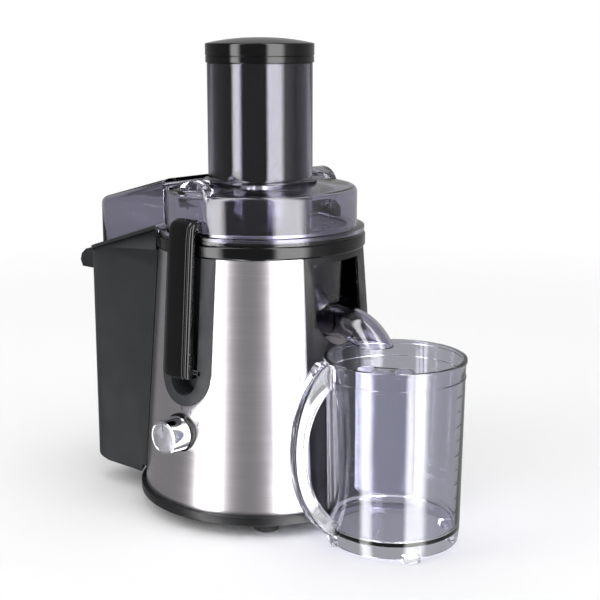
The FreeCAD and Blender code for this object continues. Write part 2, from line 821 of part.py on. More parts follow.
def brackets():
    """The two end brackets, their long bolts, bearings and rubber mounts."""
    for node, z in (("upper_bracket", upper_bracket_z), ("lower_bracket", lower_bracket_z)):
        body = new_body(node)
        revolve(body, [(bearing_radius, z), (bracket_radius, z),
                       (bracket_radius, z + bracket_wall), (bearing_radius, z + bracket_wall)])
        window = outline(body, "XY_Plane", [(20, -6), (34, -6), (34, 6), (20, 6)])
        repeat(body, pocket(body, window, 0, through=True), 4)
        corner = [(x, y, 2.1) for x in (-bolt_place, bolt_place)
                  for y in (-bolt_place, bolt_place)]
        body.Tip = pocket(body, circles(body, "XY_Plane", corner), 0, through=True)
        bearing = new_body(node.replace("bracket", "bearing"))
        low = z - 2
        high = z + bracket_wall + 1
        inner = s.shaft_radius + 0.05
        revolve(bearing, [(inner, low), (bearing_radius, low), (bearing_radius, high),
                          (inner, high)])
    bolts = []
    length = upper_bracket_z - lower_bracket_z + bracket_wall + 3
    for x in (-bolt_place, bolt_place):
        for y in (-bolt_place, bolt_place):
            shank = cylinder(2, length, (x, y, lower_bracket_z - 3))
            head = cylinder(4, 3, (x, y, lower_bracket_z - 3))
            bolts.append(fuse(shank, head))
    piece("motor_bolts", group(*bolts))
    mount_z = upper_bracket_z + bracket_wall
    for number in range(DAMPERS):
        body = new_body(f"motor_mount_{number + 1}")
        height = deck_height - mount_z
        revolve(body, [(0, 0), (7, 0), (5.5, height / 2), (7, height), (0, height)])
        x, y = on_circle(dim(48), 90 + number * 120)
        place(body, (x, y, mount_z))


def brushes():
    """The two carbon brush holders beside the commutator."""
    z = lower_bracket_z + bracket_wall
    near = 12.4
    for node, side in (("brush_holder_left", -1), ("brush_holder_right", 1)):
        low, high = sorted((side * near, side * 19.6))
        piece(node, box(low, high, -5, 5, z, z + 9))


def rotor():
    """Everything on the motor shaft below the basket."""
    bottom = lower_bracket_z - 20
    top = basket_bottom - 4
    body = new_body("motor_shaft")
    revolve(body, [(0, bottom), (s.shaft_radius, bottom), (s.shaft_radius, top - 1),
                   (s.shaft_radius - 1, top), (0, top)])
    body = new_body("armature")
    inner = s.shaft_radius
    core = [(inner, stator_bottom - 2), (16, stator_bottom - 2),
            (16, stator_bottom), (s.armature_radius, stator_bottom),
            (s.armature_radius, stator_top), (16, stator_top), (16, stator_top + 6),
            (inner, stator_top + 6)]
    revolve(body, core)
    slot = outline(body, "XY_Plane", [(20, -1.2), (30, -1.2), (30, 1.2), (20, 1.2)])
    repeat(body, pocket(body, slot, 0, through=True), 12)
    body = new_body("commutator")
    revolve(body, [(inner, commutator_z), (12, commutator_z), (12, commutator_z + 12),
                   (inner, commutator_z + 12)])
    body = new_body("cooling_fan")
    fan_z = lower_bracket_z - 16
    revolve(body, [(inner, fan_z), (46, fan_z), (46, fan_z + 1.6), (12, fan_z + 1.6),
                   (12, fan_z + 11), (inner, fan_z + 11)])
    blade = outline(body, "XY_Plane", [(11, -1), (45, 6), (45, 7.6), (11, 1)], fan_z)
    repeat(body, pad(body, blade, 10), 9)
    body = new_body("drive_coupling")
    neck = 8
    revolve(body, [(inner, coupling_z), (13, coupling_z), (13, basket_bottom - 1),
                   (neck, basket_bottom - 1), (neck, basket_bottom + 4),
                   (neck - 2, basket_bottom + 6), (0, basket_bottom + 6), (0, top),
                   (inner, top)])


def deck():
    """The deck over the motor, with the hub that carries the shaft seal."""
    radius = body_radius(deck_height + s.deck_wall) - s.housing_wall - s.fit
    top = deck_height + s.deck_wall
    hub_top = coupling_z - 2
    disc = cylinder(radius, s.deck_wall, (0, 0, deck_height))
    hub = cylinder(14, hub_top - deck_height, (0, 0, deck_height))
    bore = cylinder(8, 60, (0, 0, deck_height - 1))
    half = tray_half + s.fit
    notches = []
    for degrees in (FRONT, BACK):
        notch = box(-half, half, -OUTSIDE, -(pocket_back - s.fit), deck_height - 1, top + 1)
        notches.append(turned(group(notch), degrees))
    piece("motor_deck", cut(fuse(disc, hub), bore, *notches))
    body = new_body("shaft_seal")
    inner = s.shaft_radius + 0.05
    revolve(body, [(inner, hub_top - 9), (8, hub_top - 9), (8, hub_top - 1),
                   (inner, hub_top - 1)])


# ---------------------------------------------------------- bowl and filter
def spout_path(radius):
    """The spout: a straight run from the sump and the bend to its mouth."""
    run = cylinder(radius, spout_bend_x - sump_x,
                   (sump_x, 0, spout_height), ALONG_X)
    bend = doc.addObject("Part::Torus", "Bend")
    drive(bend, "Radius1", s.spout_bend)
    drive(bend, "Radius2", radius)
    bend.Angle3 = 90
    place(bend, (spout_bend_x, 0, spout_height - s.spout_bend), ALONG_Y)
    return run, bend


def juice_bowl():
    """The clear bowl: wall, flange, sloping sump, hub tube and spout."""
    wall = s.bowl_wall
    outer = cylinder(bowl_radius, s.bowl_depth + 1, (0, 0, bowl_floor))
    flange = cylinder(collar_radius - 1.4, s.bowl_flange, (0, 0, bowl_z))
    sump = cylinder(s.sump_radius, bowl_floor - sump_floor + 1, (sump_x, 0, sump_floor))
    solid = fuse(outer, flange, sump, *spout_path(s.spout_radius))
    inside = cylinder(bowl_radius - wall, s.bowl_depth + 10, (0, 0, bowl_floor + wall))
    sump_inside = cylinder(s.sump_radius - wall, bowl_floor - sump_floor + 4,
                           (sump_x, 0, sump_floor + wall))
    mouth = box(spout_bend_x + 2, spout_bend_x + 80, -30, 30,
                spout_height - s.spout_bend - 30, spout_mouth)
    hollow = cut(solid, inside, sump_inside, *spout_path(s.spout_radius - wall), mouth)
    hub = cylinder(s.bowl_hub_radius, wall + 7, (0, 0, bowl_floor))
    hub_bore = cylinder(s.bowl_hub_radius - wall, 40, (0, 0, bowl_floor - 10))
    piece("juice_bowl", cut(fuse(hollow, hub), hub_bore))


def filter_basket():
    """The filter cone, its rim and the grater disc at its floor."""
    z = basket_bottom
    top = z + s.basket_height
    sheet_ = s.basket_sheet
    seat = s.basket_floor
    body = new_body("filter_cone")
    revolve(body, [(seat - 3, z - sheet_), (seat + sheet_, z - sheet_),
                   (basket_radius, top - 1), (basket_radius, top),
                   (basket_radius - sheet_, top), (seat, z), (seat - 3, z)])
    body = new_body("basket_rim")
    outer = basket_radius + 1
    revolve(body, [(basket_radius, top - 4), (outer, top - 4), (outer, top + 1.5),
                   (basket_radius - 3, top + 1.5), (basket_radius - 3, top),
                   (basket_radius, top)])
    body = new_body("grater_disc")
    revolve(body, [(8, z), (seat - 0.4, z), (seat - 0.4, z + 1.5), (8, z + 1.5)])


# ----------------------------------------------------------------- the lid
def turned_solid(points):
    """A solid of revolution about the axis from a half section."""
    corners = [Vector(dim(r).value, 0, dim(z).value) for r, z in points]
    face = Part.Face(Part.makePolygon(corners + corners[:1]))
    return face.revolve(Vector(), Vector(0, 0, 1), 360)


def side_prism(points, half):
    """A solid whose side view is the polygon, from -half to half along Y."""
    corners = [Vector(dim(x).value, -half, dim(z).value) for x, z in points]
    face = Part.Face(Part.makePolygon(corners + corners[:1]))
    return face.extrude(Vector(0, 2 * half, 0))


def plan_prism(near, reach, half, corner, low, high):
    """A tall block from x = -near to -reach with its outer corners rounded."""
    block = Part.makeBox(reach - near, 2 * half, high - low, Vector(-reach, -half, low))
    edges = []
    for edge in block.Edges:
        upright = edge.BoundBox.ZLength > high - low - 0.01
        if upright and edge.BoundBox.XMax < -reach + 0.01:
            edges.append(edge)
    return block.makeFillet(corner, edges)


def rim_z(x):
    """Height of the pulp container's sloping rim at x."""
    start = 67
    along = (-x - start) / (pulp_reach.value - start)
    return (hook_z - s.pulp_rim_fall).value - s.pulp_rim_drop.value * along


hood_start = 50


def hood(inset):
    """The pulp hood's block, made smaller by inset, open below."""
    reach = chute_reach.value - inset
    half = chute_half.value - inset
    roof = crown_z.value + 2.5 - inset
    end = roof - s.chute_drop.value
    drop = s.chute_drop.value / (chute_reach.value - hood_start)
    roof_end = end + drop * inset
    plan = plan_prism(hood_start + inset, reach, half, s.chute_corner.value - inset,
                      180, 320)
    above_rim = 1 - 20 * (inset > 0)
    profile = side_prism([(-hood_start, rim_z(-hood_start) + above_rim), (-hood_start, roof),
                          (-reach, roof_end), (-reach, rim_z(-reach) + above_rim)], half + 5)
    block = plan.common(profile)
    edges = []
    for edge in block.Edges:
        middle = edge.CenterOfMass
        line = roof - drop * (-middle.x - hood_start)
        if abs(middle.z - line) < 0.2 and middle.x < -hood_start - 1:
            edges.append(edge)
    return block.makeFillet(s.chute_round.value - inset, edges)


def dome_line(inset, foot_z):
    """Half outline of the dome, set in from its outer face, as joined edges."""
    radius = lid_radius.value - inset
    corner_z = dome_z.value - inset
    crown = crown_z.value - inset
    hole = s.tube_radius.value + s.fit.value
    slope = (crown_z - dome_z).value / (lid_radius - ring_radius).value
    bend = s.lid_round.value - inset
    middle = bend * (1 - math.sqrt(0.5))
    start = Vector(radius, 0, corner_z - bend)
    through = Vector(radius - middle, 0, corner_z - middle + slope * bend / 2)
    end = Vector(radius - bend, 0, corner_z + slope * bend)
    foot = Vector(radius, 0, foot_z)
    top = Vector(hole, 0, crown)
    return [Part.makeLine(foot, start), Part.Arc(start, through, end).toShape(),
            Part.makeLine(end, top)], foot, top


def spun(edges):
    """The solid that a closed half outline makes about the axis."""
    wire = Part.Wire(Part.__sortEdges__(edges))
    solid = Part.Face(wire).revolve(Vector(), Vector(0, 0, 1), 360)
    if solid.Volume < 0:
        solid.reverse()
    return solid


def dome_core():
    """The dome as a full body, 1 mm inside its outer face."""
    edges, foot, top = dome_line(1, lid_z.value - 20)
    low = Vector(0, 0, foot.z)
    high = Vector(0, 0, top.z)
    return spun(edges + [Part.makeLine(top, high), Part.makeLine(high, low),
                         Part.makeLine(low, foot)])


LUG_HALF = 18
LUG_ARCH = 19
LUG_RISE = 10.5


def lug(degrees, core):
    """An arched half-moon on the dome's edge, slotted at its foot."""
    edge_z = dome_z.value
    low = edge_z - 6
    radius = lid_radius.value
    lobe = Part.makeCylinder(LUG_HALF, 30, Vector(0, -radius + 1, low))
    edge = Part.makeCylinder(radius + 0.4, 30, Vector(0, 0, low))
    arch = Part.makeCylinder(LUG_ARCH, 40, Vector(0, -radius - 10, edge_z + LUG_RISE - LUG_ARCH),
                             Vector(0, 1, 0))
    shape = lobe.common(edge).common(arch)
    slot = Part.makeBox(24, 14, 3, Vector(-12, -radius - 4, edge_z + 1))
    shape = shape.cut(slot)
    shape.rotate(Vector(), Vector(0, 0, 1), degrees)
    return shape.cut(core)


def lid():
    """The clear lid: dome, flange, pulp hood and the two lugs."""
    wall = s.bowl_wall.value
    radius = lid_radius.value
    low = lid_z.value
    flange_top = hook_z.value
    flange_radius = collar_radius.value - 0.9
    outer, outer_foot, outer_top = dome_line(0, flange_top)
    inner, inner_foot, inner_top = dome_line(wall, low)
    rim_top = Vector(flange_radius, 0, flange_top)
    rim_low = Vector(flange_radius, 0, low)
    shell = spun(outer + inner + [
        Part.makeLine(outer_top, inner_top), Part.makeLine(outer_foot, rim_top),
        Part.makeLine(rim_top, rim_low), Part.makeLine(rim_low, inner_foot)])
    core = dome_core()
    ledge = Part.makeCylinder(flange_radius + 1.5, low - 150, Vector(0, 0, 150))
    cover = hood(0).cut(hood(wall)).cut(ledge).cut(core)
    shape = shell.cut(hood(wall)).fuse(cover)
    for degrees in (FRONT, BACK):
        shape = shape.fuse(lug(degrees, core))
    piece("lid", feature(shape))


def feed_tube():
    """The feed tube, with the ring that seats it on the dome."""
    inner = s.tube_radius - s.tube_wall
    ring_top = crown_z + s.tube_ring_height
    body = new_body("feed_tube")
    revolve(body, [(inner, tube_bottom), (s.tube_radius, tube_bottom),
                   (s.tube_radius, crown_z), (ring_radius, crown_z),
                   (ring_radius, ring_top), (s.tube_radius + 0.8, ring_top + 0.8),
                   (s.tube_radius, ring_top + 0.8), (s.tube_radius, tube_top),
                   (inner, tube_top)])


def pusher():
    """The hollow pusher with two key ribs, and its crowned cap."""
    radius = s.tube_radius - s.tube_wall - s.pusher_gap
    inner = radius - s.pusher_wall
    low = tube_bottom + 2
    body = new_body("pusher_body")
    revolve(body, [(0, low), (radius - 2, low), (radius, low + 2), (radius, tube_top),
                   (inner, tube_top), (inner, low + 3), (0, low + 3)])
    rib = outline(body, "XY_Plane", [(radius - 1, -2), (radius + 1.3, -2),
                                     (radius + 1.3, 2), (radius - 1, 2)], low + 6)
    repeat(body, pad(body, rib, tube_top - low - 10), 2)
    cap = cap_radius
    edge = tube_top + s.cap_height
    seam = tube_top + s.cap_height * 0.42
    body = new_body("pusher_cap")
    revolve(body, [(0, tube_top - 6), (inner - 0.1, tube_top - 6), (inner - 0.1, tube_top),
                   (cap - 0.4, tube_top), (cap - 0.4, seam), (cap - 1.2, seam + 0.3),
                   (cap - 1.2, seam + 0.9), (cap, seam + 1.2), (cap, edge - 1.6),
                   (cap - 2.2, edge), (cap * 0.66, edge + s.cap_rise * 0.72),
                   (cap * 0.33, edge + s.cap_rise * 0.94), (0, edge + s.cap_rise)])


# --------------------------------------------------------- pulp container
pulp_floor = shell_z + 1.5


def body_clearance(gap):
    """The space of the motor body that the container fits round."""
    low = shell_z.value
    drop = s.shell_bottom_radius.value - s.shell_top_radius.value
    tall = s.shell_height.value
    grow = drop / tall
    taper = Part.makeCone(s.shell_bottom_radius.value + gap + grow * 10,
                          s.shell_top_radius.value + gap - grow * 40,
                          tall + 50, Vector(0, 0, low - 10))
    top = Part.makeCylinder(collar_radius.value + gap, 60,
                            Vector(0, 0, collar_z.value - 3))
    tray = Part.makeCylinder(base_radius.value + gap, low + 8, Vector(0, 0, 0))
    return taper.fuse(top).fuse(tray)


def bucket(inset, over_rim):
    """The container's block, made smaller by inset, up to its sloping rim."""
    reach = pulp_reach.value - inset
    half = s.pulp_half.value - inset
    low = pulp_floor.value + inset
    near = 40
    plan = plan_prism(near, reach, half, s.pulp_corner.value - inset, 0, 300)
    profile = side_prism([(-near, low), (-reach + 26, low), (-reach + 7, low + 4),
                          (-reach, low + 12), (-reach, rim_z(-reach) + over_rim),
                          (-near, rim_z(-near) + over_rim)], half + 5)
    return plan.common(profile)


def rim_lip():
    """The narrow lip round the container's rim."""
    out = 1.4
    tall = 3
    reach = pulp_reach.value + out
    plan = plan_prism(40, reach, s.pulp_half.value + out, s.pulp_corner.value + out, 0, 300)
    profile = side_prism([(-40, rim_z(-40) - tall), (-reach, rim_z(-reach) - tall),
                          (-reach, rim_z(-reach)), (-40, rim_z(-40))], s.pulp_half.value + 5)
    return plan.common(profile)


def grip():
    """The hooked grip on the container's outer end, open below."""
    end = pulp_reach.value
    out = end + s.grip_reach.value
    top = rim_z(-end)
    low = top - s.grip_height.value
    wall = 2.5
    half = s.grip_half.value
    solid = side_prism([(-end + 1.5, top), (-out + 8, top - 5), (-out + 2, top - 10),
                        (-out, top - 16), (-out + 3, low), (-end + 1.5, low)], half)
    inner = side_prism([(-end - wall, top - wall - 1), (-out + 9, top - 5 - wall),
                        (-out + 2 + wall, top - 12), (-out + wall, top - 17),
                        (-out + 3 + wall, low - 5), (-end - wall, low - 5)], half - wall)
    return solid.cut(inner)


def pulp_container():
    """The pulp container, which fits round the body under the hood."""
    wall = s.pulp_wall.value
    gap = s.slide_gap.value
    outer = bucket(0, 0).fuse(rim_lip()).fuse(grip())
    outer = outer.cut(body_clearance(gap))
    inner = bucket(wall, 5).cut(body_clearance(gap + wall))
    piece("pulp_container", feature(outer.cut(inner).removeSplitter()))


# --------------------------------------------------------------------- jug
HANDLE_ANGLE = 245
SEPARATOR_ANGLE = -62
JUG_FOOT_ANGLE = -36
jug_floor = s.jug_foot + s.jug_skirt


def at_jug(thing, degrees):
    """Stands a part that was made about its own axis at the jug's place."""
    return place(thing, (jug_x, s.jug_y, 0), about_z(degrees))


def jug_body():
    """The jug: wall, rim bead, band, floor, skirt and four feet."""
    low = s.jug_bottom_radius
    top = s.jug_top_radius
    wall = s.jug_wall
    rim = jug_rim
    body = new_body("jug_body")
    revolve(body, [(0, jug_floor), (low - 4, jug_floor), (low - 4, s.jug_foot),
                   (low - 1, s.jug_foot), (low, jug_floor), (top, rim - 3.5),
                   (top + 1, rim - 3.5), (top + 1, rim - 0.8), (top + 0.2, rim),
                   (top - wall, rim), (low - wall, jug_floor + wall + 0.6),
                   (0, jug_floor + wall + 0.6)])
    foot = outline(body, "XY_Plane", [(low - 9, -7), (low - 1.6, -7), (low - 1.6, 7),
                                      (low - 9, 7)])
    first = pad(body, foot, s.jug_foot + 2)
    repeat(body, first, 4)
    at_jug(body, JUG_FOOT_ANGLE)


def jug_handle():
    """The bowed handle, which flares into the rim at its top."""
    def at(r, z):
        return Vector(r, -s.handle_half.value, z)

    def smooth(*points):
        curve = Part.BSplineCurve()
        curve.interpolate(list(points))
        return curve

    rim = jug_rim.value
    wall_r = s.jug_top_radius.value - 4
    out = s.handle_reach.value
    mid = rim * 0.545
    deep = s.handle_depth.value
    foot_z = jug_floor.value - 3
    edges = [
        Part.LineSegment(at(wall_r, rim - 0.5), at(wall_r + 15, rim - 0.5)),
        smooth(at(wall_r + 15, rim - 0.5), at(out - 7, rim * 0.82), at(out, mid),
               at(out - 9, rim * 0.27), at(wall_r + 3, foot_z)),
        Part.LineSegment(at(wall_r + 3, foot_z), at(wall_r, foot_z + 2)),
        Part.LineSegment(at(wall_r, foot_z + 2), at(wall_r, foot_z + 14)),
        smooth(at(wall_r, foot_z + 14), at(out - deep - 8, rim * 0.31), at(out - deep, mid),
               at(out - deep - 6, rim * 0.74), at(wall_r + 6, rim - 20)),
        Part.LineSegment(at(wall_r + 6, rim - 20), at(wall_r, rim - 23)),
        Part.LineSegment(at(wall_r, rim - 23), at(wall_r, rim - 0.5)),
    ]
    face = Part.Face(Part.Wire([edge.toShape() for edge in edges]))
    bar = face.extrude(Vector(0, 2 * s.handle_half.value, 0))
    top = s.jug_top_radius
    low = s.jug_bottom_radius
    jug = turned_solid([(0, 0), (low - 1, 0), (low - 1, s.jug_foot), (low, jug_floor),
                        (top, rim - 3.5), (top + 1, rim - 3.5), (top + 1, rim - 0.8),
                        (top + 0.2, rim), (0, rim)])
    sides = [edge for edge in bar.Edges
             if edge.BoundBox.YLength < 0.01 and edge.CenterOfMass.x > wall_r + 18]
    bar = bar.makeFillet(3, sides).cut(jug)
    at_jug(piece("jug_handle", feature(bar)), HANDLE_ANGLE)


def froth_separator():
    """The plate that holds back the froth, hung over the jug's rim."""
    rim = jug_rim
    inside = s.jug_bottom_radius - 10
    half = s.separator_half
    body = new_body("froth_separator")
    plate = outline(body, "YZ_Plane", [(-half, rim - s.separator_drop), (half, rim - s.separator_drop),
                                       (half, rim + 2), (-half, rim + 2)], inside)
    slab = pad(body, plate, 1.8)

    def corner(edge):
        box_ = edge.BoundBox
        return box_.YLength < 0.01 and box_.ZLength < 0.01

    round_off(body, slab, 5, corner)
    tab = outline(body, "XY_Plane", [(inside + 0.5, -9), (s.jug_top_radius + 1, -9),
                                     (s.jug_top_radius + 1, 9), (inside + 0.5, 9)], rim)
    body.Tip = pad(body, tab, 2)
    at_jug(body, SEPARATOR_ANGLE)


# ------------------------------------------------------------------- build
def build():
    """Makes every sub-part in order, from the table up."""
    base_tray()
    feet()
    base_screws()
    housing()
    steel_cover()
    collar()
    cord_inlet()
    for side, degrees in (("front", FRONT), ("back", BACK)):
        surround(f"{side}_surround", degrees)
        arm_pin(f"{side}_arm_pin", degrees)
        locking_arm(f"{side}_arm", degrees)
    arm_switch()
    speed_control()
    electronics()
    stator()
    brackets()
    brushes()
    rotor()
    deck()
    juice_bowl()
    filter_basket()
    lid()
    feed_tube()
    pusher()
    pulp_container()
    jug_body()
    jug_handle()
    froth_separator()


def check():
    """Stops where an object failed or a sub-part has no valid shape."""
    for thing in doc.Objects:
        if "Invalid" in thing.State or "Error" in thing.State:
            raise RuntimeError(f"{thing.Label}: {thing.State}")
    for node, thing in PIECES.items():
        if thing.Shape.isNull() or not thing.Shape.isValid() or not thing.Shape.Solids:
            raise RuntimeError(f"{node}: shape is missing or invalid")


def write():
    """Writes each sub-part to its own STEP file."""
    os.makedirs("parts", exist_ok=True)
    for node, thing in PIECES.items():
        thing.Shape.exportStep(f"parts/{node}.step")


build()
doc.recompute()
check()
write()
print(f"{len(PIECES)} sub-parts written")
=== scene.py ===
"""Visual model of a centrifugal juicer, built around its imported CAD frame.

Lengths in this file are millimetres unless a name says otherwise, and every mesh is scaled to
metres once, when it becomes a piece. Each sub-assembly is a class: its sizes are dataclass
fields, and its methods make the meshes and dress them.
"""
import logging
import math
from dataclasses import dataclass, field
from enum import Enum
from typing import Any, Callable, ClassVar, Iterable, Sequence

import bmesh
import bpy
from mathutils import Matrix, Vector


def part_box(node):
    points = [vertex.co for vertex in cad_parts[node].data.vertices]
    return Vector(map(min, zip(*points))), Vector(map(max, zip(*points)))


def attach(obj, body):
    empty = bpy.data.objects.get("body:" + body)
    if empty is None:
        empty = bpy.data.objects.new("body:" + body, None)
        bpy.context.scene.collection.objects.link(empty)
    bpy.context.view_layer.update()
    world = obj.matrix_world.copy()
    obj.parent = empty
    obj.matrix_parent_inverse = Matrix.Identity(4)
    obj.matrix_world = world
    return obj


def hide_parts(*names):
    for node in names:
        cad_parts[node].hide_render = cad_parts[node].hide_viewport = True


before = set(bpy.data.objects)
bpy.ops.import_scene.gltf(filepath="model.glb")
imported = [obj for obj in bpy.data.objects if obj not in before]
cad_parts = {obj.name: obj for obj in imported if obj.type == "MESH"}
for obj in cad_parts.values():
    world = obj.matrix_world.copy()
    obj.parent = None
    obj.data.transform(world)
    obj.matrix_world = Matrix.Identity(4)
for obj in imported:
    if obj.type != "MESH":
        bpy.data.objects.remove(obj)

log = logging.getLogger("juicer")
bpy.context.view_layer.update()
MM = 0.001
Corner = tuple[float, float, float]
Flat = tuple[float, float]
Rgba = tuple[float, float, float, float]


# --------------------------------------------------------------------- shading
def linear(hex_colour: str) -> Rgba:
    """Turns an sRGB hex colour into linear RGBA.

    Args:
        hex_colour: Six hex digits.

    Returns:
        The colour that a shader socket takes.
    """
    values = []
    for start in (0, 2, 4):
        share = int(hex_colour[start:start + 2], 16) / 255
        values.append(share / 12.92 if share <= 0.04045 else ((share + 0.055) / 1.055) ** 2.4)
    return values[0], values[1], values[2], 1.0


def add_node(tree: bpy.types.NodeTree, kind: str, sockets: dict[Any, Any] | None = None,
             **settings: Any) -> bpy.types.Node:
    """Adds a node with its settings and links.

    Args:
        tree: The node tree.
        kind: The node's type name.
        sockets: Input name or number to a value, or to an output socket to link from.
        **settings: Properties of the node itself.

    Returns:
        The new node.
    """
    made = tree.nodes.new(kind)
    for name, value in settings.items():
        setattr(made, name, value)
    for name, value in (sockets or {}).items():
        if isinstance(value, bpy.types.NodeSocket):
            tree.links.new(value, made.inputs[name])
        else:
            made.inputs[name].default_value = value
    return made


def clouds(tree: bpy.types.NodeTree, where: bpy.types.NodeSocket, size: float, low: float,
           high: float, detail: float = 2.0) -> bpy.types.NodeSocket:
    """Soft clouds that wander between two values.

    Args:
        tree: The node tree.
        where: The coordinates.
        size: Width of a cloud in millimetres.
        low: The value between clouds.
        high: The value inside one.
        detail: How ragged their edges are.

    Returns:
        The value's socket.
    """
    spots = add_node(tree, "ShaderNodeTexNoise",
                     {"Vector": where, "Scale": 1 / (size * MM), "Detail": detail})
    return add_node(tree, "ShaderNodeMapRange",
                    {"Value": spots.outputs["Fac"], "From Min": 0.3, "From Max": 0.7,
                     "To Min": low, "To Max": high}).outputs["Result"]


def toned(hex_colour: str, gain: float) -> Rgba:
    """A hex colour made lighter or darker by a gain, as linear RGBA."""
    return tuple(min(1.0, value * gain) for value in linear(hex_colour)[:3]) + (1.0,)


@dataclass(frozen=True)
class Finish:
    """Base of every finish: a named material whose surface is set up once."""

    name: str
    colour: str

    def material(self) -> bpy.types.Material:
        """Returns the finish's material, made the first time it is asked for."""
        found = bpy.data.materials.get(self.name)
        if found:
            return found
        made = bpy.data.materials.new(self.name)
        made.use_nodes = True
        tree = made.node_tree
        tree.nodes.clear()
        where = add_node(tree, "ShaderNodeTexCoord").outputs["Object"]
        surface = self.surface(tree, where)
        add_node(tree, "ShaderNodeOutputMaterial", {"Surface": surface})
        made.diffuse_color = linear(self.colour)
        return made

    def surface(self, tree: bpy.types.NodeTree,
                where: bpy.types.NodeSocket) -> bpy.types.NodeSocket:
        """Builds the finish's shader.

        Args:
            tree: The material's node tree.
            where: The piece's own coordinates, in metres.

        Returns:
            The shader's output socket.
        """
        raise NotImplementedError

    def coat(self, tree: bpy.types.NodeTree, share: bpy.types.NodeSocket, tones: Flat,
             height: bpy.types.NodeSocket, depth: float, strength: float,
             sockets: dict[str, Any]) -> bpy.types.NodeSocket:
        """An opaque surface: two tones of the colour over a fine relief.

        Args:
            tree: The material's node tree.
            share: The pattern that mixes the tones.
            tones: How light the colour is at the pattern's low and at its high.
            height: The relief's height.
            depth: The relief's depth in millimetres.
            strength: How strongly the relief shows.
            sockets: The shader's other inputs.

        Returns:
            The shader's output socket.
        """
        low, high = (toned(self.colour, gain) for gain in tones)
        colour = add_node(tree, "ShaderNodeMix", {0: share, 6: low, 7: high},
                          data_type="RGBA")
        relief = add_node(tree, "ShaderNodeBump",
                          {"Height": height, "Distance": depth * MM, "Strength": strength})
        shader = add_node(tree, "ShaderNodeBsdfPrincipled",
                          {"Base Color": colour.outputs[2], "Normal": relief.outputs["Normal"],
                           **sockets})
        return shader.outputs["BSDF"]


@dataclass(frozen=True)
class Moulded(Finish):
    """Injection moulded plastic or rubber: fine mould grain and slightly uneven gloss."""

    roughness: float = 0.4
    grain: float = 0.8
    grain_depth: float = 0.03
    patch: float = 60.0
    shade: float = 0.12
    ior: float = 1.54
    specular: float = 0.28

    def surface(self, tree: bpy.types.NodeTree,
                where: bpy.types.NodeSocket) -> bpy.types.NodeSocket:
        """Builds the plastic shader; see Finish.surface."""
        flow = clouds(tree, where, self.patch, 0, 1, 3.0)
        spark = add_node(tree, "ShaderNodeTexNoise",
                         {"Vector": where, "Scale": 1 / (self.grain * MM), "Detail": 2.0})
        gloss = clouds(tree, where, self.patch / 4, self.roughness * 0.85,
                       self.roughness * 1.15, 4.0)
        return self.coat(tree, flow, (1 - self.shade, 1 + self.shade), spark.outputs["Fac"],
                         self.grain_depth, 0.5,
                         {"Roughness": gloss, "IOR": self.ior,
                          "Specular IOR Level": self.specular})


@dataclass(frozen=True)
class Brushed(Finish):
    """Brushed steel: fine lines round the Z axis or across it, and a streaked gloss."""

    roughness: float = 0.3
    line: float = 1.2
    streak: float = 60.0
    anisotropy: float = 0.6
    radius: float = 100.0

    def surface(self, tree: bpy.types.NodeTree,
                where: bpy.types.NodeSocket) -> bpy.types.NodeSocket:
        """Builds the metal shader; see Finish.surface."""
        parts = add_node(tree, "ShaderNodeSeparateXYZ", {"Vector": where}).outputs
        angle = add_node(tree, "ShaderNodeMath", {0: parts["Y"], 1: parts["X"]},
                         operation="ARCTAN2").outputs[0]
        squeeze = self.radius * MM * self.line / self.streak
        along = add_node(tree, "ShaderNodeMath", {0: angle, 1: squeeze},
                         operation="MULTIPLY").outputs[0]
        lines_at = add_node(tree, "ShaderNodeCombineXYZ",
                            {"X": along, "Y": 0.0, "Z": parts["Z"]}).outputs[0]
        lines = clouds(tree, lines_at, self.line, 0, 1, 3.0)
        bands = clouds(tree, lines_at, self.line * 5, 0, 1)
        both = add_node(tree, "ShaderNodeMath", {0: lines, 1: bands, 2: 0.0},
                        operation="MULTIPLY_ADD").outputs[0]
        back = add_node(tree, "ShaderNodeMath", {0: parts["Y"], 1: -1.0},
                        operation="MULTIPLY").outputs[0]
        round_body = add_node(tree, "ShaderNodeCombineXYZ",
                              {"X": back, "Y": parts["X"], "Z": 0.0}).outputs[0]
        gloss = add_node(tree, "ShaderNodeMapRange",
                         {"Value": lines, "To Min": self.roughness * 0.92,
                          "To Max": self.roughness * 1.08}).outputs["Result"]
        return self.coat(tree, both, (0.88, 1.0), lines, 0.004, 0.2,
                         {"Metallic": 1.0, "Roughness": gloss, "Anisotropic": self.anisotropy,
                          "Anisotropic Rotation": 0.25, "Tangent": round_body})


@dataclass(frozen=True)
class Metal(Finish):
    """Plated, turned or cast metal with a light unevenness."""

    roughness: float = 0.15
    grain: float = 2.0
    grain_depth: float = 0.01

    def surface(self, tree: bpy.types.NodeTree,
                where: bpy.types.NodeSocket) -> bpy.types.NodeSocket:
        """Builds the metal shader; see Finish.surface."""
        uneven = clouds(tree, where, self.grain, 0, 1, 4.0)
        gloss = clouds(tree, where, self.grain * 6, self.roughness * 0.8,
                       self.roughness * 1.25, 3.0)
        return self.coat(tree, uneven, (0.85, 1.0), uneven, self.grain_depth, 0.4,
                         {"Metallic": 1.0, "Roughness": gloss})


@dataclass(frozen=True)
class Stacked(Finish):
    """Thin steel sheets stacked along Z, varnished."""

    sheet: float = 1.4

    def surface(self, tree: bpy.types.NodeTree,
                where: bpy.types.NodeSocket) -> bpy.types.NodeSocket:
        """Builds the laminated shader; see Finish.surface."""
        edges = add_node(tree, "ShaderNodeTexWave",
                         {"Vector": where, "Scale": 2 / (self.sheet * MM * math.tau)},
                         bands_direction="Z").outputs["Fac"]
        gloss = clouds(tree, where, 9, 0.35, 0.5, 3.0)
        return self.coat(tree, edges, (0.45, 1.0), edges, 0.15, 0.5,
                         {"Metallic": 0.7, "Roughness": gloss})


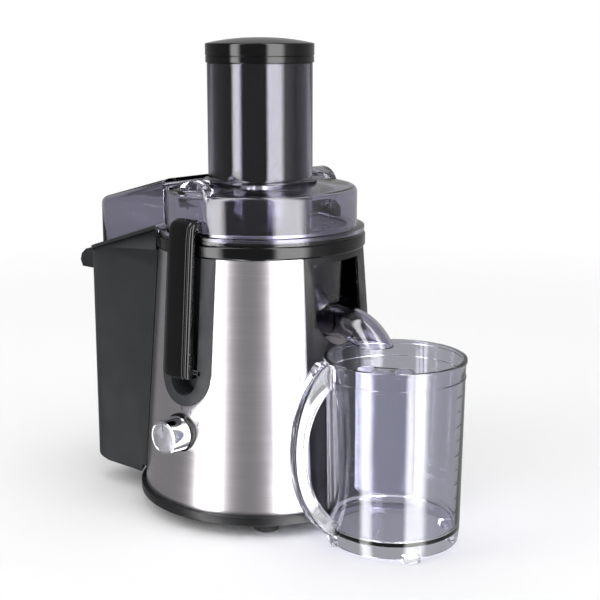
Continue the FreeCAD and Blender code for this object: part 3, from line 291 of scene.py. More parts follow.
@dataclass(frozen=True)
class Clear(Finish):
    """Clear or smoked SAN plastic: it bends and mirrors light, and lets lamps shine through."""

    roughness: float = 0.02
    ior: float = 1.45
    shadow: str = "FFFFFF"
    specular: float = 0.5
    ripple: float = 35.0
    ripple_depth: float = 0.05

    def surface(self, tree: bpy.types.NodeTree,
                where: bpy.types.NodeSocket) -> bpy.types.NodeSocket:
        """Builds the clear shader; see Finish.surface."""
        waves = add_node(tree, "ShaderNodeTexNoise",
                         {"Vector": where, "Scale": 1 / (self.ripple * MM), "Detail": 1.0})
        relief = add_node(tree, "ShaderNodeBump",
                          {"Height": waves.outputs["Fac"], "Distance": self.ripple_depth * MM,
                           "Strength": 0.15})
        glass = add_node(tree, "ShaderNodeBsdfPrincipled", {
            "Base Color": linear(self.colour),
            "Roughness": clouds(tree, where, self.ripple / 2, self.roughness * 0.7,
                                self.roughness * 1.6, 3.0),
            "IOR": self.ior, "Specular IOR Level": self.specular,
            "Transmission Weight": 1.0,
            "Normal": relief.outputs["Normal"]})
        open_way = add_node(tree, "ShaderNodeBsdfTransparent", {"Color": linear(self.shadow)})
        lamps = add_node(tree, "ShaderNodeLightPath").outputs["Is Shadow Ray"]
        mixed = add_node(tree, "ShaderNodeMixShader",
                         {0: lamps, 1: glass.outputs[0], 2: open_way.outputs[0]})
        return mixed.outputs[0]


class Finishes(Enum):
    """Every finish on the juicer, by what the real material is."""

    # Satin ABS: fine mould grain breaks up reflections, so large faces shade softly.
    SATIN_BLACK = Moulded("satin black ABS", "141416", roughness=0.36, grain=0.9)
    # The container's mould is finer grained, and its black is a little greener.
    CONTAINER = Moulded("satin container ABS", "262829", roughness=0.4, grain=0.8, shade=0.08,
                        specular=0.4)
    # Piano black: the mould is polished, so only a faint orange peel is left.
    GLOSS_BLACK = Moulded("polished black ABS", "08080a", roughness=0.09, grain=14.0,
                          grain_depth=0.01, shade=0.05)
    # Spark-eroded mould texture, which leaves a dull dark grey.
    MATT_GREY = Moulded("textured dark grey ABS", "2c2d30", roughness=0.52, grain=1.0,
                        grain_depth=0.06)
    # Moulded rubber is dull, with talc marks that lighten it in patches.
    RUBBER = Moulded("moulded black rubber", "121213", roughness=0.75, grain=1.2,
                     grain_depth=0.08, ior=1.52)
    # Unfilled nylon is milky, with a waxy sheen.
    NYLON = Moulded("natural nylon", "d6d2c6", roughness=0.45, grain=1.5)
    # Pad printed ink is thin and flat.
    PRINT = Moulded("grey printing ink", "4a4850", roughness=0.5, grain=0.6, grain_depth=0.01)
    # The sheet is brushed round the body, so lamps become upright bands of light. Real
    # brush lines are 0.1 mm apart; they are drawn twelve times coarser, so that they show.
    STEEL_COVER = Brushed("brushed stainless steel 430", "cdc9cd", roughness=0.31)
    # Pressed filter sheet keeps a dull rolled face.
    FILTER_STEEL = Brushed("pressed stainless steel 304", "b4b3b8", roughness=0.24, line=2.0,
                           anisotropy=0.0, radius=60.0)
    # Painted shade: each hole in the thin sheet is drawn as a dark disc, standing for the shade
    # behind it.
    HOLE_SHADE = Moulded("shadow in a filter hole", "141417", roughness=0.8, grain=0.5)
    # Plating over polished ABS is a near mirror.
    CHROME = Metal("chrome plated ABS", "e4e4ea", roughness=0.07, grain=8.0)
    # Blasted before plating, so it scatters light to an even pale grey.
    SATIN_CHROME = Metal("satin chrome", "dcdbe4", roughness=0.34, grain=1.0)
    # Ground and turned bearing steel is bright, with faint tool marks.
    TURNED = Metal("turned bearing steel", "a9abb0", roughness=0.22, grain=1.5)
    # Die cast aluminium has a cloudy skin with flow marks.
    CAST = Metal("die cast aluminium", "9ea1a5", roughness=0.45, grain=2.5, grain_depth=0.05)
    # Enamel over the wire gives copper an amber gloss; turns are about 1 mm apart.
    COPPER = Metal("enamelled copper", "a8622f", roughness=0.28, grain=1.0, grain_depth=0.2)
    # The stack's cut edges read as fine stripes; sheets are drawn three times too thick.
    LAMINATED = Stacked("varnished core laminations", "6d6f75")
    # Green solder mask over glass weave.
    BOARD = Moulded("fibreglass board", "285a3b", roughness=0.35, grain=2.0)
    # Shrunk vinyl sleeve, smooth and glossy.
    SLEEVE = Moulded("shrink sleeve", "274681", roughness=0.25, grain=5.0)
    # Smoked SAN: the tint is in the resin, and polished walls carry sharp highlights.
    SMOKED = Clear("smoked SAN", "c0becf", shadow="d8d7e0")
    # The bowl and lid are less highly polished, so their walls mirror the lights weakly.
    SMOKED_WALL = Clear("smoked SAN, plain mould", "d3d1df", shadow="d8d7e0", specular=0.12)
    # The pusher's resin is tinted almost black.
    DARK_SMOKED = Clear("dark smoked SAN", "14141a", shadow="303038", roughness=0.04,
                        specular=0.4)
    # Clear SAN has a faint lavender cast against white.
    JUG = Clear("clear SAN", "e9e9f4", shadow="f4f4fa", specular=0.16)


# -------------------------------------------------------------------- geometry
def rounded(corners: Sequence[Corner], steps: int = 5) -> list[Flat]:
    """A closed outline whose corners are true arcs.

    Args:
        corners: Each corner as two coordinates and a radius.
        steps: Number of straight pieces in each arc.

    Returns:
        The outline's points in order.
    """
    made: list[Flat] = []
    count = len(corners)
    for index, (a, b, radius) in enumerate(corners):
        here = Vector((a, b))
        back = Vector(corners[index - 1][:2]) - here
        ahead = Vector(corners[(index + 1) % count][:2]) - here
        if radius <= 0:
            made.append((a, b))
            continue
        turn = back.angle(ahead)
        reach = min(radius / math.tan(turn / 2), back.length * 0.48, ahead.length * 0.48)
        size = reach * math.tan(turn / 2)
        middle = here + (back.normalized() + ahead.normalized()).normalized() * (
            size / math.sin(turn / 2))
        start = here + back.normalized() * reach - middle
        end = here + ahead.normalized() * reach - middle
        swing = start.angle_signed(end)
        for step in range(steps + 1):
            angle = -swing * step / steps
            made.append((middle.x + start.x * math.cos(angle) - start.y * math.sin(angle),
                         middle.y + start.x * math.sin(angle) + start.y * math.cos(angle)))
    return made


def lathe(outline: Sequence[Flat], steps: int = 144) -> bmesh.types.BMesh:
    """Turns a closed (radius, height) outline about the Z axis.

    Args:
        outline: The half section.
        steps: Number of segments in the turn.

    Returns:
        The solid.
    """
    solid = bmesh.new()
    rings = []
    for step in range(steps):
        angle = math.radians(360 * step / steps)
        rings.append([solid.verts.new((r * math.cos(angle), r * math.sin(angle), z))
                      for r, z in outline])
    skin(solid, rings + rings[:1])
    return closed(solid)


def skin(solid: bmesh.types.BMesh, rings: Sequence[Sequence[bmesh.types.BMVert]]) -> None:
    """Joins each ring of points to the next with a belt of faces.

    Args:
        solid: The mesh that gets the faces.
        rings: Each ring's points in order, all with the same number.
    """
    for one, two in zip(rings, rings[1:]):
        for index in range(len(one)):
            after = (index + 1) % len(one)
            solid.faces.new((one[index], two[index], two[after], one[after]))


def closed(solid: bmesh.types.BMesh) -> bmesh.types.BMesh:
    """Merges doubled points, drops empty faces and points every face outwards.

    Args:
        solid: The mesh to clean.

    Returns:
        The same mesh.
    """
    bmesh.ops.remove_doubles(solid, verts=solid.verts, dist=1e-4)
    bmesh.ops.dissolve_degenerate(solid, edges=solid.edges, dist=1e-5)
    bmesh.ops.recalc_face_normals(solid, faces=solid.faces)
    return solid


def loft(rings: Sequence[Sequence[Vector]]) -> bmesh.types.BMesh:
    """Joins rings of equal length into a solid with closed ends.

    Args:
        rings: Each ring's points in order.

    Returns:
        The solid.
    """
    solid = bmesh.new()
    made = [[solid.verts.new(point) for point in ring] for ring in rings]
    skin(solid, made)
    solid.faces.new(made[0])
    solid.faces.new(made[-1])
    return closed(solid)


def merged_copy(node: str) -> bmesh.types.BMesh:
    """A CAD node's own shape, with its loose triangles joined.

    Args:
        node: The node's name.

    Returns:
        The shape, in millimetres.
    """
    solid = bmesh.new()
    solid.from_mesh(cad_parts[node].data)
    bmesh.ops.scale(solid, vec=Vector((1 / MM,) * 3), verts=solid.verts)
    bmesh.ops.remove_doubles(solid, verts=solid.verts, dist=0.002)
    bmesh.ops.dissolve_degenerate(solid, edges=solid.edges, dist=0.001)
    return solid


def bevelled(solid: bmesh.types.BMesh, width: float, angle: float) -> bmesh.types.BMesh:
    """Rounds every edge of a closed solid that turns by more than an angle.

    Args:
        solid: The solid.
        width: Width of the rounding in millimetres.
        angle: The least turn in degrees.

    Returns:
        The same solid.
    """
    limit = math.radians(angle)
    sharp = [edge for edge in solid.edges
             if edge.is_manifold and edge.calc_face_angle(0) > limit]
    bmesh.ops.bevel(solid, geom=sharp, offset=width, segments=2, profile=0.5,
                    affect="EDGES", clamp_overlap=True)
    return solid


def soften(solid: bmesh.types.BMesh, width: float) -> bmesh.types.BMesh:
    """Joins a CAD shape's flat faces and rounds its edges, as a mould does.

    Args:
        solid: The shape.
        width: Width of the rounding in millimetres.

    Returns:
        The same shape.
    """
    bmesh.ops.dissolve_limit(solid, angle_limit=math.radians(0.5), verts=solid.verts,
                             edges=solid.edges, delimit={"NORMAL"})
    return bevelled(solid, width, 40.0)


def moved(solid: bmesh.types.BMesh, matrix: Matrix) -> bmesh.types.BMesh:
    """Moves a solid by a matrix."""
    bmesh.ops.transform(solid, matrix=matrix, verts=solid.verts)
    return solid


def turned(degrees: float, axis: str = "Z") -> Matrix:
    """A turn about an axis through the origin."""
    return Matrix.Rotation(math.radians(degrees), 4, axis)


def shifted(x: float = 0, y: float = 0, z: float = 0) -> Matrix:
    """A shift."""
    return Matrix.Translation((x, y, z))


def joined(*solids: bmesh.types.BMesh) -> bmesh.types.BMesh:
    """Puts several solids in one mesh.

    Args:
        *solids: The solids.

    Returns:
        The first of them, which now holds them all.
    """
    whole = solids[0]
    for solid in solids[1:]:
        spare = bpy.data.meshes.new("spare")
        solid.to_mesh(spare)
        whole.from_mesh(spare)
        bpy.data.meshes.remove(spare)
    return whole


def measured(node: str) -> tuple[Vector, Vector]:
    """A CAD node's box at rest, in millimetres."""
    low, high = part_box(node)
    return low / MM, high / MM


def piece(name: str, solid: bmesh.types.BMesh, finish: Finishes, body: str,
          replaces: Iterable[str] = (), sharp: float = 32.0) -> bpy.types.Object:
    """Makes a finished piece of a solid and hands it to the frame.

    Args:
        name: The piece's name.
        solid: Its shape in millimetres; it is used up.
        finish: What its surface is.
        body: The CAD body that it moves with.
        replaces: CAD nodes that it stands for.
        sharp: Edges turning by more than this many degrees stay sharp.

    Returns:
        The piece's object.
    """
    bmesh.ops.scale(solid, vec=Vector((MM,) * 3), verts=solid.verts)
    mesh = mesh_of(solid, name)
    mesh.shade_smooth()
    mesh.set_sharp_from_angle(angle=math.radians(sharp))
    made = bpy.data.objects.new(name, mesh)
    bpy.context.scene.collection.objects.link(made)
    mesh.materials.append(finish.value.material())
    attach(made, body)
    if replaces:
        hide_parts(*replaces)
    log.info("%s: %d faces", name, len(mesh.polygons))
    return made


def from_cad(name: str, node: str, edge: float, finish: Finishes, body: str) -> bpy.types.Object:
    """Makes a piece of a CAD node's own shape, with its moulded edges rounded.

    Args:
        name: The piece's name.
        node: The CAD node that gives the shape and that the piece stands for.
        edge: Width of the rounding in millimetres.
        finish: What its surface is.
        body: The CAD body that it moves with.

    Returns:
        The piece's object.
    """
    return piece(name, soften(merged_copy(node), edge), finish, body, [node])


def dress(node: str, finish: Finishes) -> None:
    """Gives a CAD node that stays as it is its material.

    Args:
        node: The node's name.
        finish: What its surface is.
    """
    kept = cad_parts[node]
    kept.data.materials.clear()
    kept.data.materials.append(finish.value.material())
    log.info("%s: CAD node in %s", node, finish.value.name)


def mesh_of(solid: bmesh.types.BMesh, name: str = "shape") -> bpy.types.Mesh:
    """Turns a solid into a mesh.

    Args:
        solid: The solid; it is used up.
        name: The mesh's name.

    Returns:
        The mesh.
    """
    mesh = bpy.data.meshes.new(name)
    solid.to_mesh(mesh)
    solid.free()
    return mesh


# ------------------------------------------------------------------ repetition
@dataclass
class ConeArray:
    """Repeats a small shape in rows and columns on a cone about the Z axis.

    The shape's own Z points away from the cone and its Y from the low row to the high one.
    """

    # Each sum of the tree: its name, its operation and what goes into it.
    SUMS: ClassVar[tuple[tuple[str, str, tuple[Any, ...]], ...]] = (
        ("Count", "MULTIPLY", ("Columns", "Rows")),
        ("Row share", "DIVIDE", ("Index", "Columns")),
        ("Row", "FLOOR", ("Row share",)),
        ("Column", "MODULO", ("Index", "Columns")),
        ("Rows after", "SUBTRACT", ("Rows", 1.0)),
        ("Last row", "MAXIMUM", ("Rows after", 1.0)),
        ("Share", "DIVIDE", ("Row", "Last row")),
        ("Rise", "SUBTRACT", ("High height", "Low height")),
        ("Widen", "SUBTRACT", ("High radius", "Low radius")),
        ("Radius", "MULTIPLY_ADD", ("Widen", "Share", "Low radius")),
        ("Height", "MULTIPLY_ADD", ("Rise", "Share", "Low height")),
        ("Odd row", "MODULO", ("Row", 2.0)),
        ("Step", "MULTIPLY_ADD", ("Odd row", "Stagger", "Column")),
        ("Way round", "DIVIDE", ("Step", "Columns")),
        ("Turn", "MULTIPLY_ADD", ("Way round", "Span", "Start")),
        ("Cosine", "COSINE", ("Turn",)),
        ("Sine", "SINE", ("Turn",)),
        ("Place X", "MULTIPLY", ("Radius", "Cosine")),
        ("Place Y", "MULTIPLY", ("Radius", "Sine")),
        ("Out X", "MULTIPLY", ("Rise", "Cosine")),
        ("Out Y", "MULTIPLY", ("Rise", "Sine")),
        ("Out Z", "MULTIPLY", ("Widen", -1.0)),
        ("Up X", "MULTIPLY", ("Widen", "Cosine")),
        ("Up Y", "MULTIPLY", ("Widen", "Sine")),
    )

    columns: int
    rows: int
    low: Flat
    high: Flat
    start: float = 0.0
    span: float = 360.0
    stagger: float = 0.0

    def inputs(self) -> dict[str, tuple[str, float]]:
        """Each named input of the tree: its socket type and its value."""
        return {
            "Columns": ("NodeSocketInt", self.columns),
            "Rows": ("NodeSocketInt", self.rows),
            "Low radius": ("NodeSocketFloat", self.low[0]),
            "Low height": ("NodeSocketFloat", self.low[1]),
            "High radius": ("NodeSocketFloat", self.high[0]),
            "High height": ("NodeSocketFloat", self.high[1]),
            "Start": ("NodeSocketFloat", math.radians(self.start)),
            "Span": ("NodeSocketFloat", math.radians(self.span)),
            "Stagger": ("NodeSocketFloat", self.stagger),
        }

    def tree(self, finish: Finishes) -> bpy.types.NodeTree:
        """Builds the node tree that places the shapes.

        Args:
            finish: The finish that the repeated shapes get.

        Returns:
            The geometry tree.
        """
        made = bpy.data.node_groups.new("rows on a cone", "GeometryNodeTree")
        made.interface.new_socket("Geometry", in_out="INPUT",
                                  socket_type="NodeSocketGeometry")
        made.interface.new_socket("Geometry", in_out="OUTPUT",
                                  socket_type="NodeSocketGeometry")
        for name, (kind, _) in self.inputs().items():
            made.interface.new_socket(name, in_out="INPUT", socket_type=kind)
        given = add_node(made, "NodeGroupInput").outputs

        value = dict(given.items())
        value["Index"] = add_node(made, "GeometryNodeInputIndex").outputs[0]
        for name, operation, terms in self.SUMS:
            sockets = {place: value.get(term, term) for place, term in enumerate(terms)}
            value[name] = add_node(made, "ShaderNodeMath", sockets,
                                   operation=operation).outputs[0]
        place, outward, upward = (
            add_node(made, "ShaderNodeCombineXYZ",
                     {axis: value[term] for axis, term in enumerate(terms)}).outputs[0]
            for terms in (("Place X", "Place Y", "Height"), ("Out X", "Out Y", "Out Z"),
                          ("Up X", "Up Y", "Rise")))
        facing = add_node(made, "FunctionNodeAxesToRotation",
                          {"Primary Axis": outward, "Secondary Axis": upward},
                          primary_axis="Z", secondary_axis="Y").outputs[0]
        points = add_node(made, "GeometryNodePoints",
                          {"Count": value["Count"], "Position": place}).outputs[0]
        copies = add_node(made, "GeometryNodeInstanceOnPoints",
                          {"Points": points, "Instance": given["Geometry"],
                           "Rotation": facing}).outputs[0]
        real = add_node(made, "GeometryNodeRealizeInstances", {"Geometry": copies}).outputs[0]
        dressed = add_node(made, "GeometryNodeSetMaterial",
                           {"Geometry": real, "Material": finish.value.material()}).outputs[0]
        add_node(made, "NodeGroupOutput", {"Geometry": dressed})
        return made

    def bake(self, shape: bmesh.types.BMesh, finish: Finishes) -> bmesh.types.BMesh:
        """Repeats a shape and returns the result as one solid.

        Args:
            shape: The shape, about its own origin; it is used up.
            finish: The finish that the tree sets.

        Returns:
            All the copies, in millimetres.
        """
        holder = bpy.data.objects.new("repeated", mesh_of(shape))
        bpy.context.scene.collection.objects.link(holder)
        modifier = holder.modifiers.new("rows", "NODES")
        tree = self.tree(finish)
        modifier.node_group = tree
        values = self.inputs()
        for item in tree.interface.items_tree:
            if item.in_out == "INPUT" and item.name in values:
                modifier[item.identifier] = values[item.name][1]
        ready = holder.evaluated_get(bpy.context.evaluated_depsgraph_get())
        baked = bpy.data.meshes.new_from_object(ready)
        whole = bmesh.new()
        whole.from_mesh(baked)
        holder.modifiers.clear()
        bpy.data.objects.remove(holder)
        bpy.data.meshes.remove(baked)
        return whole


def block(half_x: float, half_y: float, low: float, high: float, bevel: float,
          taper: float = 0.0) -> bmesh.types.BMesh:
    """A small upright block with its top edges bevelled.

    Args:
        half_x: Half its width.
        half_y: Half its length.
        low: Its foot.
        high: Its top.
        bevel: Width of the bevel round the top.
        taper: How much each side leans in at the top.

    Returns:
        The solid.
    """
    rings = []
    for inset, z in ((0.0, low), (taper, high - bevel), (taper + bevel, high)):
        x, y = half_x - inset, half_y - inset
        rings.append([Vector((-x, -y, z)), Vector((x, -y, z)), Vector((x, y, z)),
                      Vector((-x, y, z))])
    return loft(rings)


# -------------------------------------------------------------- the motor body
@dataclass
class MotorBody:
    """The conical body: steel cover, plastic housing, collar, surrounds and base."""

    bottom: float = 17.5
    top: float = 230.0
    bottom_radius: float = 105.2
    top_radius: float = 89.6
    sheet: float = 0.8
    steel_from: float = -140.0
    steel_to: float = -24.0
    gap_half: float = 28.7
    gap_centre: float = 132.5
    side_columns: int = 22
    gap_columns: int = 28
    low_rows: int = 26
    high_rows: int = 14
    screw_inset: float = 8.7
    screw_angle: float = 20.0
    collar_top: float = 241.0
    collar_radius: float = 91.4
    collar_bore: float = 83.5

    def radius(self, z: float) -> float:
        """The body's radius at a height."""
        fall = (self.bottom_radius - self.top_radius) / (self.top - self.bottom)
        return self.bottom_radius - fall * (z - self.bottom)

    def on_body(self, angle: float, z: float, inset: float) -> Vector:
        """The point at an angle in radians and a height, an inset inside the surface."""
        r = self.radius(z) - inset
        return Vector((r * math.cos(angle), r * math.sin(angle), z))

    def gap_side(self, sign: int, z: float) -> float:
        """The angle in radians of one side of the arm's gap at a height."""
        return -math.pi / 2 + sign * math.asin(self.gap_half / self.radius(z))

    def strip(self, ends: Callable[[float], Flat], heights: Sequence[float],
              inset: float) -> list[list[Vector]]:
        """Upright columns of points between two edges of the sheet.

        Args:
            ends: Gives the two edges' angles in radians at a height.
            heights: The heights of the points.
            inset: How far inside the body's surface they lie.

        Returns:
            The columns, from the first edge to the second.
        """
        columns = []
        for n in range(self.side_columns + 1):
            column = []
            for z in heights:
                first, last = ends(z)
                angle = first + (last - first) * n / self.side_columns
                column.append(self.on_body(angle, z, inset))
            columns.append(column)
        return columns

    def steel_columns(self, inset: float) -> list[list[Vector]]:
        """One face of the steel cover, as upright columns of points.

        Args:
            inset: How far inside the body's surface the face lies.

        Returns:
            The columns from one end to the other; those under the arm's gap end lower.
        """
        rows = self.low_rows
        heights = [self.bottom + (self.gap_centre - self.bottom) * n / rows
                   for n in range(rows + 1)]
        heights += [self.gap_centre + (self.top - self.gap_centre) * n / self.high_rows
                    for n in range(1, self.high_rows + 1)]
        below = []
        for n in range(1, self.gap_columns):
            swing = math.pi * n / self.gap_columns
            x = -self.gap_half * math.cos(swing)
            under = self.gap_centre - self.gap_half * math.sin(swing)
            column = []
            for step in range(rows + 1):
                z = self.bottom + (under - self.bottom) * step / rows
                angle = math.asin(x / self.radius(z)) - math.pi / 2
                column.append(self.on_body(angle, z, inset))
            below.append(column)
        left_end, right_end = math.radians(self.steel_from), math.radians(self.steel_to)
        left = self.strip(lambda z: (left_end, self.gap_side(-1, z)), heights, inset)
        right = self.strip(lambda z: (self.gap_side(1, z), right_end), heights, inset)
        return left + below + right

    def steel(self) -> None:
        """The brushed steel sheet, cut out round the front arm."""
        solid = bmesh.new()
        faces = [[[solid.verts.new(point) for point in column]
                  for column in self.steel_columns(inset)] for inset in (0.0, self.sheet)]
        for face in faces:
            for one, two in zip(face, face[1:]):
                for n in range(min(len(one), len(two)) - 1):
                    solid.faces.new((one[n], two[n], two[n + 1], one[n + 1]))
        rims = [tuple(edge.verts) for edge in solid.edges if edge.is_boundary]
        partner = {a: b for one, two in zip(*faces) for a, b in zip(one, two)}
        for a, b in rims:
            if a in partner and b in partner:
                solid.faces.new((a, b, partner[b], partner[a]))
        piece("steel_sheet", bevelled(closed(solid), 0.25, 50.0), Finishes.STEEL_COVER,
              "root", ["steel_cover"])

    def collar(self) -> None:
        """The polished ring round the top."""
        outline = rounded([(self.collar_bore, self.top, 0.4),
                           (self.collar_radius - 1.0, self.top, 0.5),
                           (self.collar_radius, self.top + 1.5, 1.0),
                           (self.collar_radius, self.collar_top, 1.8),
                           (self.collar_bore, self.collar_top, 0.4)], 6)
        piece("collar_ring", lathe(outline, 192), Finishes.GLOSS_BLACK, "root",
              ["top_collar"])

    def shell(self) -> None:
        """The plastic housing, base and surrounds, with moulded edges."""
        for name, node, edge, finish, slot in (
                ("housing_shell", "motor_housing", 0.5, Finishes.SATIN_BLACK, "black_matte"),
                ("base_moulding", "base_tray", 0.5, Finishes.SATIN_BLACK, "black_matte"),
                ("front_arm_plate", "front_surround", 0.4, Finishes.MATT_GREY, "grey_matte"),
                ("back_arm_plate", "back_surround", 0.4, Finishes.MATT_GREY, "grey_matte"),
                ("lead_bush", "cord_inlet", 0.5, Finishes.RUBBER, "black_matte")):
            from_cad(name, node, edge, finish, "root")

    def feet(self) -> None:
        """Rubber feet with a rounded tread and a groove."""
        for number in range(1, 5):
            low, high = measured(f"rubber_foot_{number}")
            middle = (low + high) / 2
            r = (high.x - low.x) / 2
            outline = rounded([(0, 0.0, 0), (r - 5.2, 0.0, 0.3), (r - 5.2, 0.8, 0.2),
                               (r - 4.0, 0.8, 0.2), (r - 4.0, 0.0, 0.3), (r - 1.4, 0.0, 1.0),
                               (r, high.z, 0.3), (0, high.z, 0)], 4)
            foot = moved(lathe(outline, 40), shifted(middle.x, middle.y))
            piece(f"foot_pad_{number}", foot, Finishes.RUBBER, "root",
                  [f"rubber_foot_{number}"])

    def screws(self) -> None:
        """The four base screws, with a round recess in each head."""
        low, _ = measured("base_screws")
        head = lathe(rounded([(0, -2.4, 0), (3.8, -2.4, 0.2), (3.8, -0.4, 0.5),
                              (1.4, 0.0, 0.1), (1.1, -1.0, 0.1), (0, -1.3, 0)], 3), 24)
        circle = self.bottom_radius - self.screw_inset
        height = low.z + 0.2
        rows = ConeArray(4, 1, (circle, height), (circle + 1, height), start=self.screw_angle)
        piece("screw_heads", rows.bake(head, Finishes.TURNED), Finishes.TURNED, "root")
        dress("base_screws", Finishes.TURNED)

    def build(self) -> None:
        """Makes the whole body."""
        self.steel()
        self.collar()
        self.shell()
        self.feet()
        self.screws()


# ------------------------------------------------------------- locking arms
@dataclass
class LockingArm:
    """One arm: a polished bar with a raised centre panel, hooked over the lid."""

    body: MotorBody
    side: str
    degrees: float
    panel_half: float = 9.6
    proud: float = 10.7
    foot: float = 129.5
    pin_face: float = 87.05
    step_low: float = 142.0
    step_high: float = 150.0
    back_low: float = 94.97
    back_high: float = 92.0
    bend: float = 244.0
    bend_centre: Flat = (89.2, 252.0)
    bend_size: Flat = (8.9, 9.0)
    crest: float = 261.0
    tip: float = 85.5
    under: float = 247.3
    # The bar's rounded foot: outer face drawn in, height over the foot, inner face drawn in.
    foot_round: tuple[Corner, ...] = ((2.6, 0.0, 1.55), (0.9, 0.8, 0.35), (0.2, 2.6, 0.0))
    # Half the section, from the back round to the panel: x, depth, and whether the depth
    # counts from the outer face.
    half_section: tuple[tuple[float, float, bool], ...] = (
        (12.4, 0.0, False), (13.5, 0.45, False), (14.0, 1.6, False), (14.0, 4.2, True),
        (13.75, 2.9, True), (13.1, 2.0, True), (12.2, 1.45, True), (11.2, 1.25, True))
    # The panel's edge beside panel_half: x added and depth.
    panel_edge: tuple[Flat, ...] = ((0.75, 1.2), (0.35, 1.05), (0.0, 0.35), (-0.35, 0.08),
                                    (-1.0, 0.0))

    def outer(self, z: float) -> float:
        """How far out the bar's face stands at a height."""
        return self.body.radius(z) + self.proud

    def stations(self) -> list[tuple[Flat, Flat]]:
        """Pairs of (distance out, height): the bar's outer face and its inner face."""
        made = [((self.outer(self.foot) - out, self.foot + up),
                 (self.pin_face + back, self.foot + up)) for out, up, back in self.foot_round]
        made.append(((self.outer(self.step_low), self.step_low),
                     (self.pin_face, self.step_low)))
        steps = 6
        for step in range(steps + 1):
            z = self.step_high + 13 * step
            back = self.back_low + (self.back_high - self.back_low) * step / steps
            made.append(((self.outer(z), z), (back, z)))
        made.append(((self.outer(self.bend), self.bend), (self.back_high, self.bend)))
        steps = 8
        for step in range(steps + 1):
            turn = math.radians(90 * step / steps)
            out = self.bend_centre[0] + self.bend_size[0] * math.cos(turn)
            up = self.bend_centre[1] + self.bend_size[1] * math.sin(turn)
            made.append(((out, up), (self.back_high - 0.45 * step,
                                     self.under - 0.05 * (steps - step))))
        made.append(((self.tip + 1.2, self.crest - 0.1), (self.tip + 1.2, self.under)))
        made.append(((self.tip, self.crest - 1.2), (self.tip, self.under + 1.0)))
        return made

    def section(self) -> list[tuple[float, float, bool]]:
        """The bar's section: x, depth, and whether depth counts from the outer face."""
        right = list(self.half_section)
        right += [(self.panel_half + x, depth, True) for x, depth in self.panel_edge]
        return right + [(-x, depth, from_outer) for x, depth, from_outer in reversed(right)]

    def build(self) -> None:
        """Makes the arm and its pin."""
        rings = []
        for (out_y, out_z), (in_y, in_z) in self.stations():
            outer = Vector((0, -out_y, out_z))
            inner = Vector((0, -in_y, in_z))
            inward = (inner - outer).normalized()
            ring = []
            for x, depth, from_outer in self.section():
                point = outer + inward * depth if from_outer else inner - inward * depth
                ring.append(Vector((x, point.y, point.z)))
            rings.append(ring)
        solid = moved(bevelled(loft(rings), 0.5, 50.0), turned(self.degrees))
        piece(f"{self.side}_lock_bar", solid, Finishes.GLOSS_BLACK, f"{self.side}_arm",
              [f"{self.side}_arm"], sharp=50)
        dress(f"{self.side}_arm_pin", Finishes.TURNED)


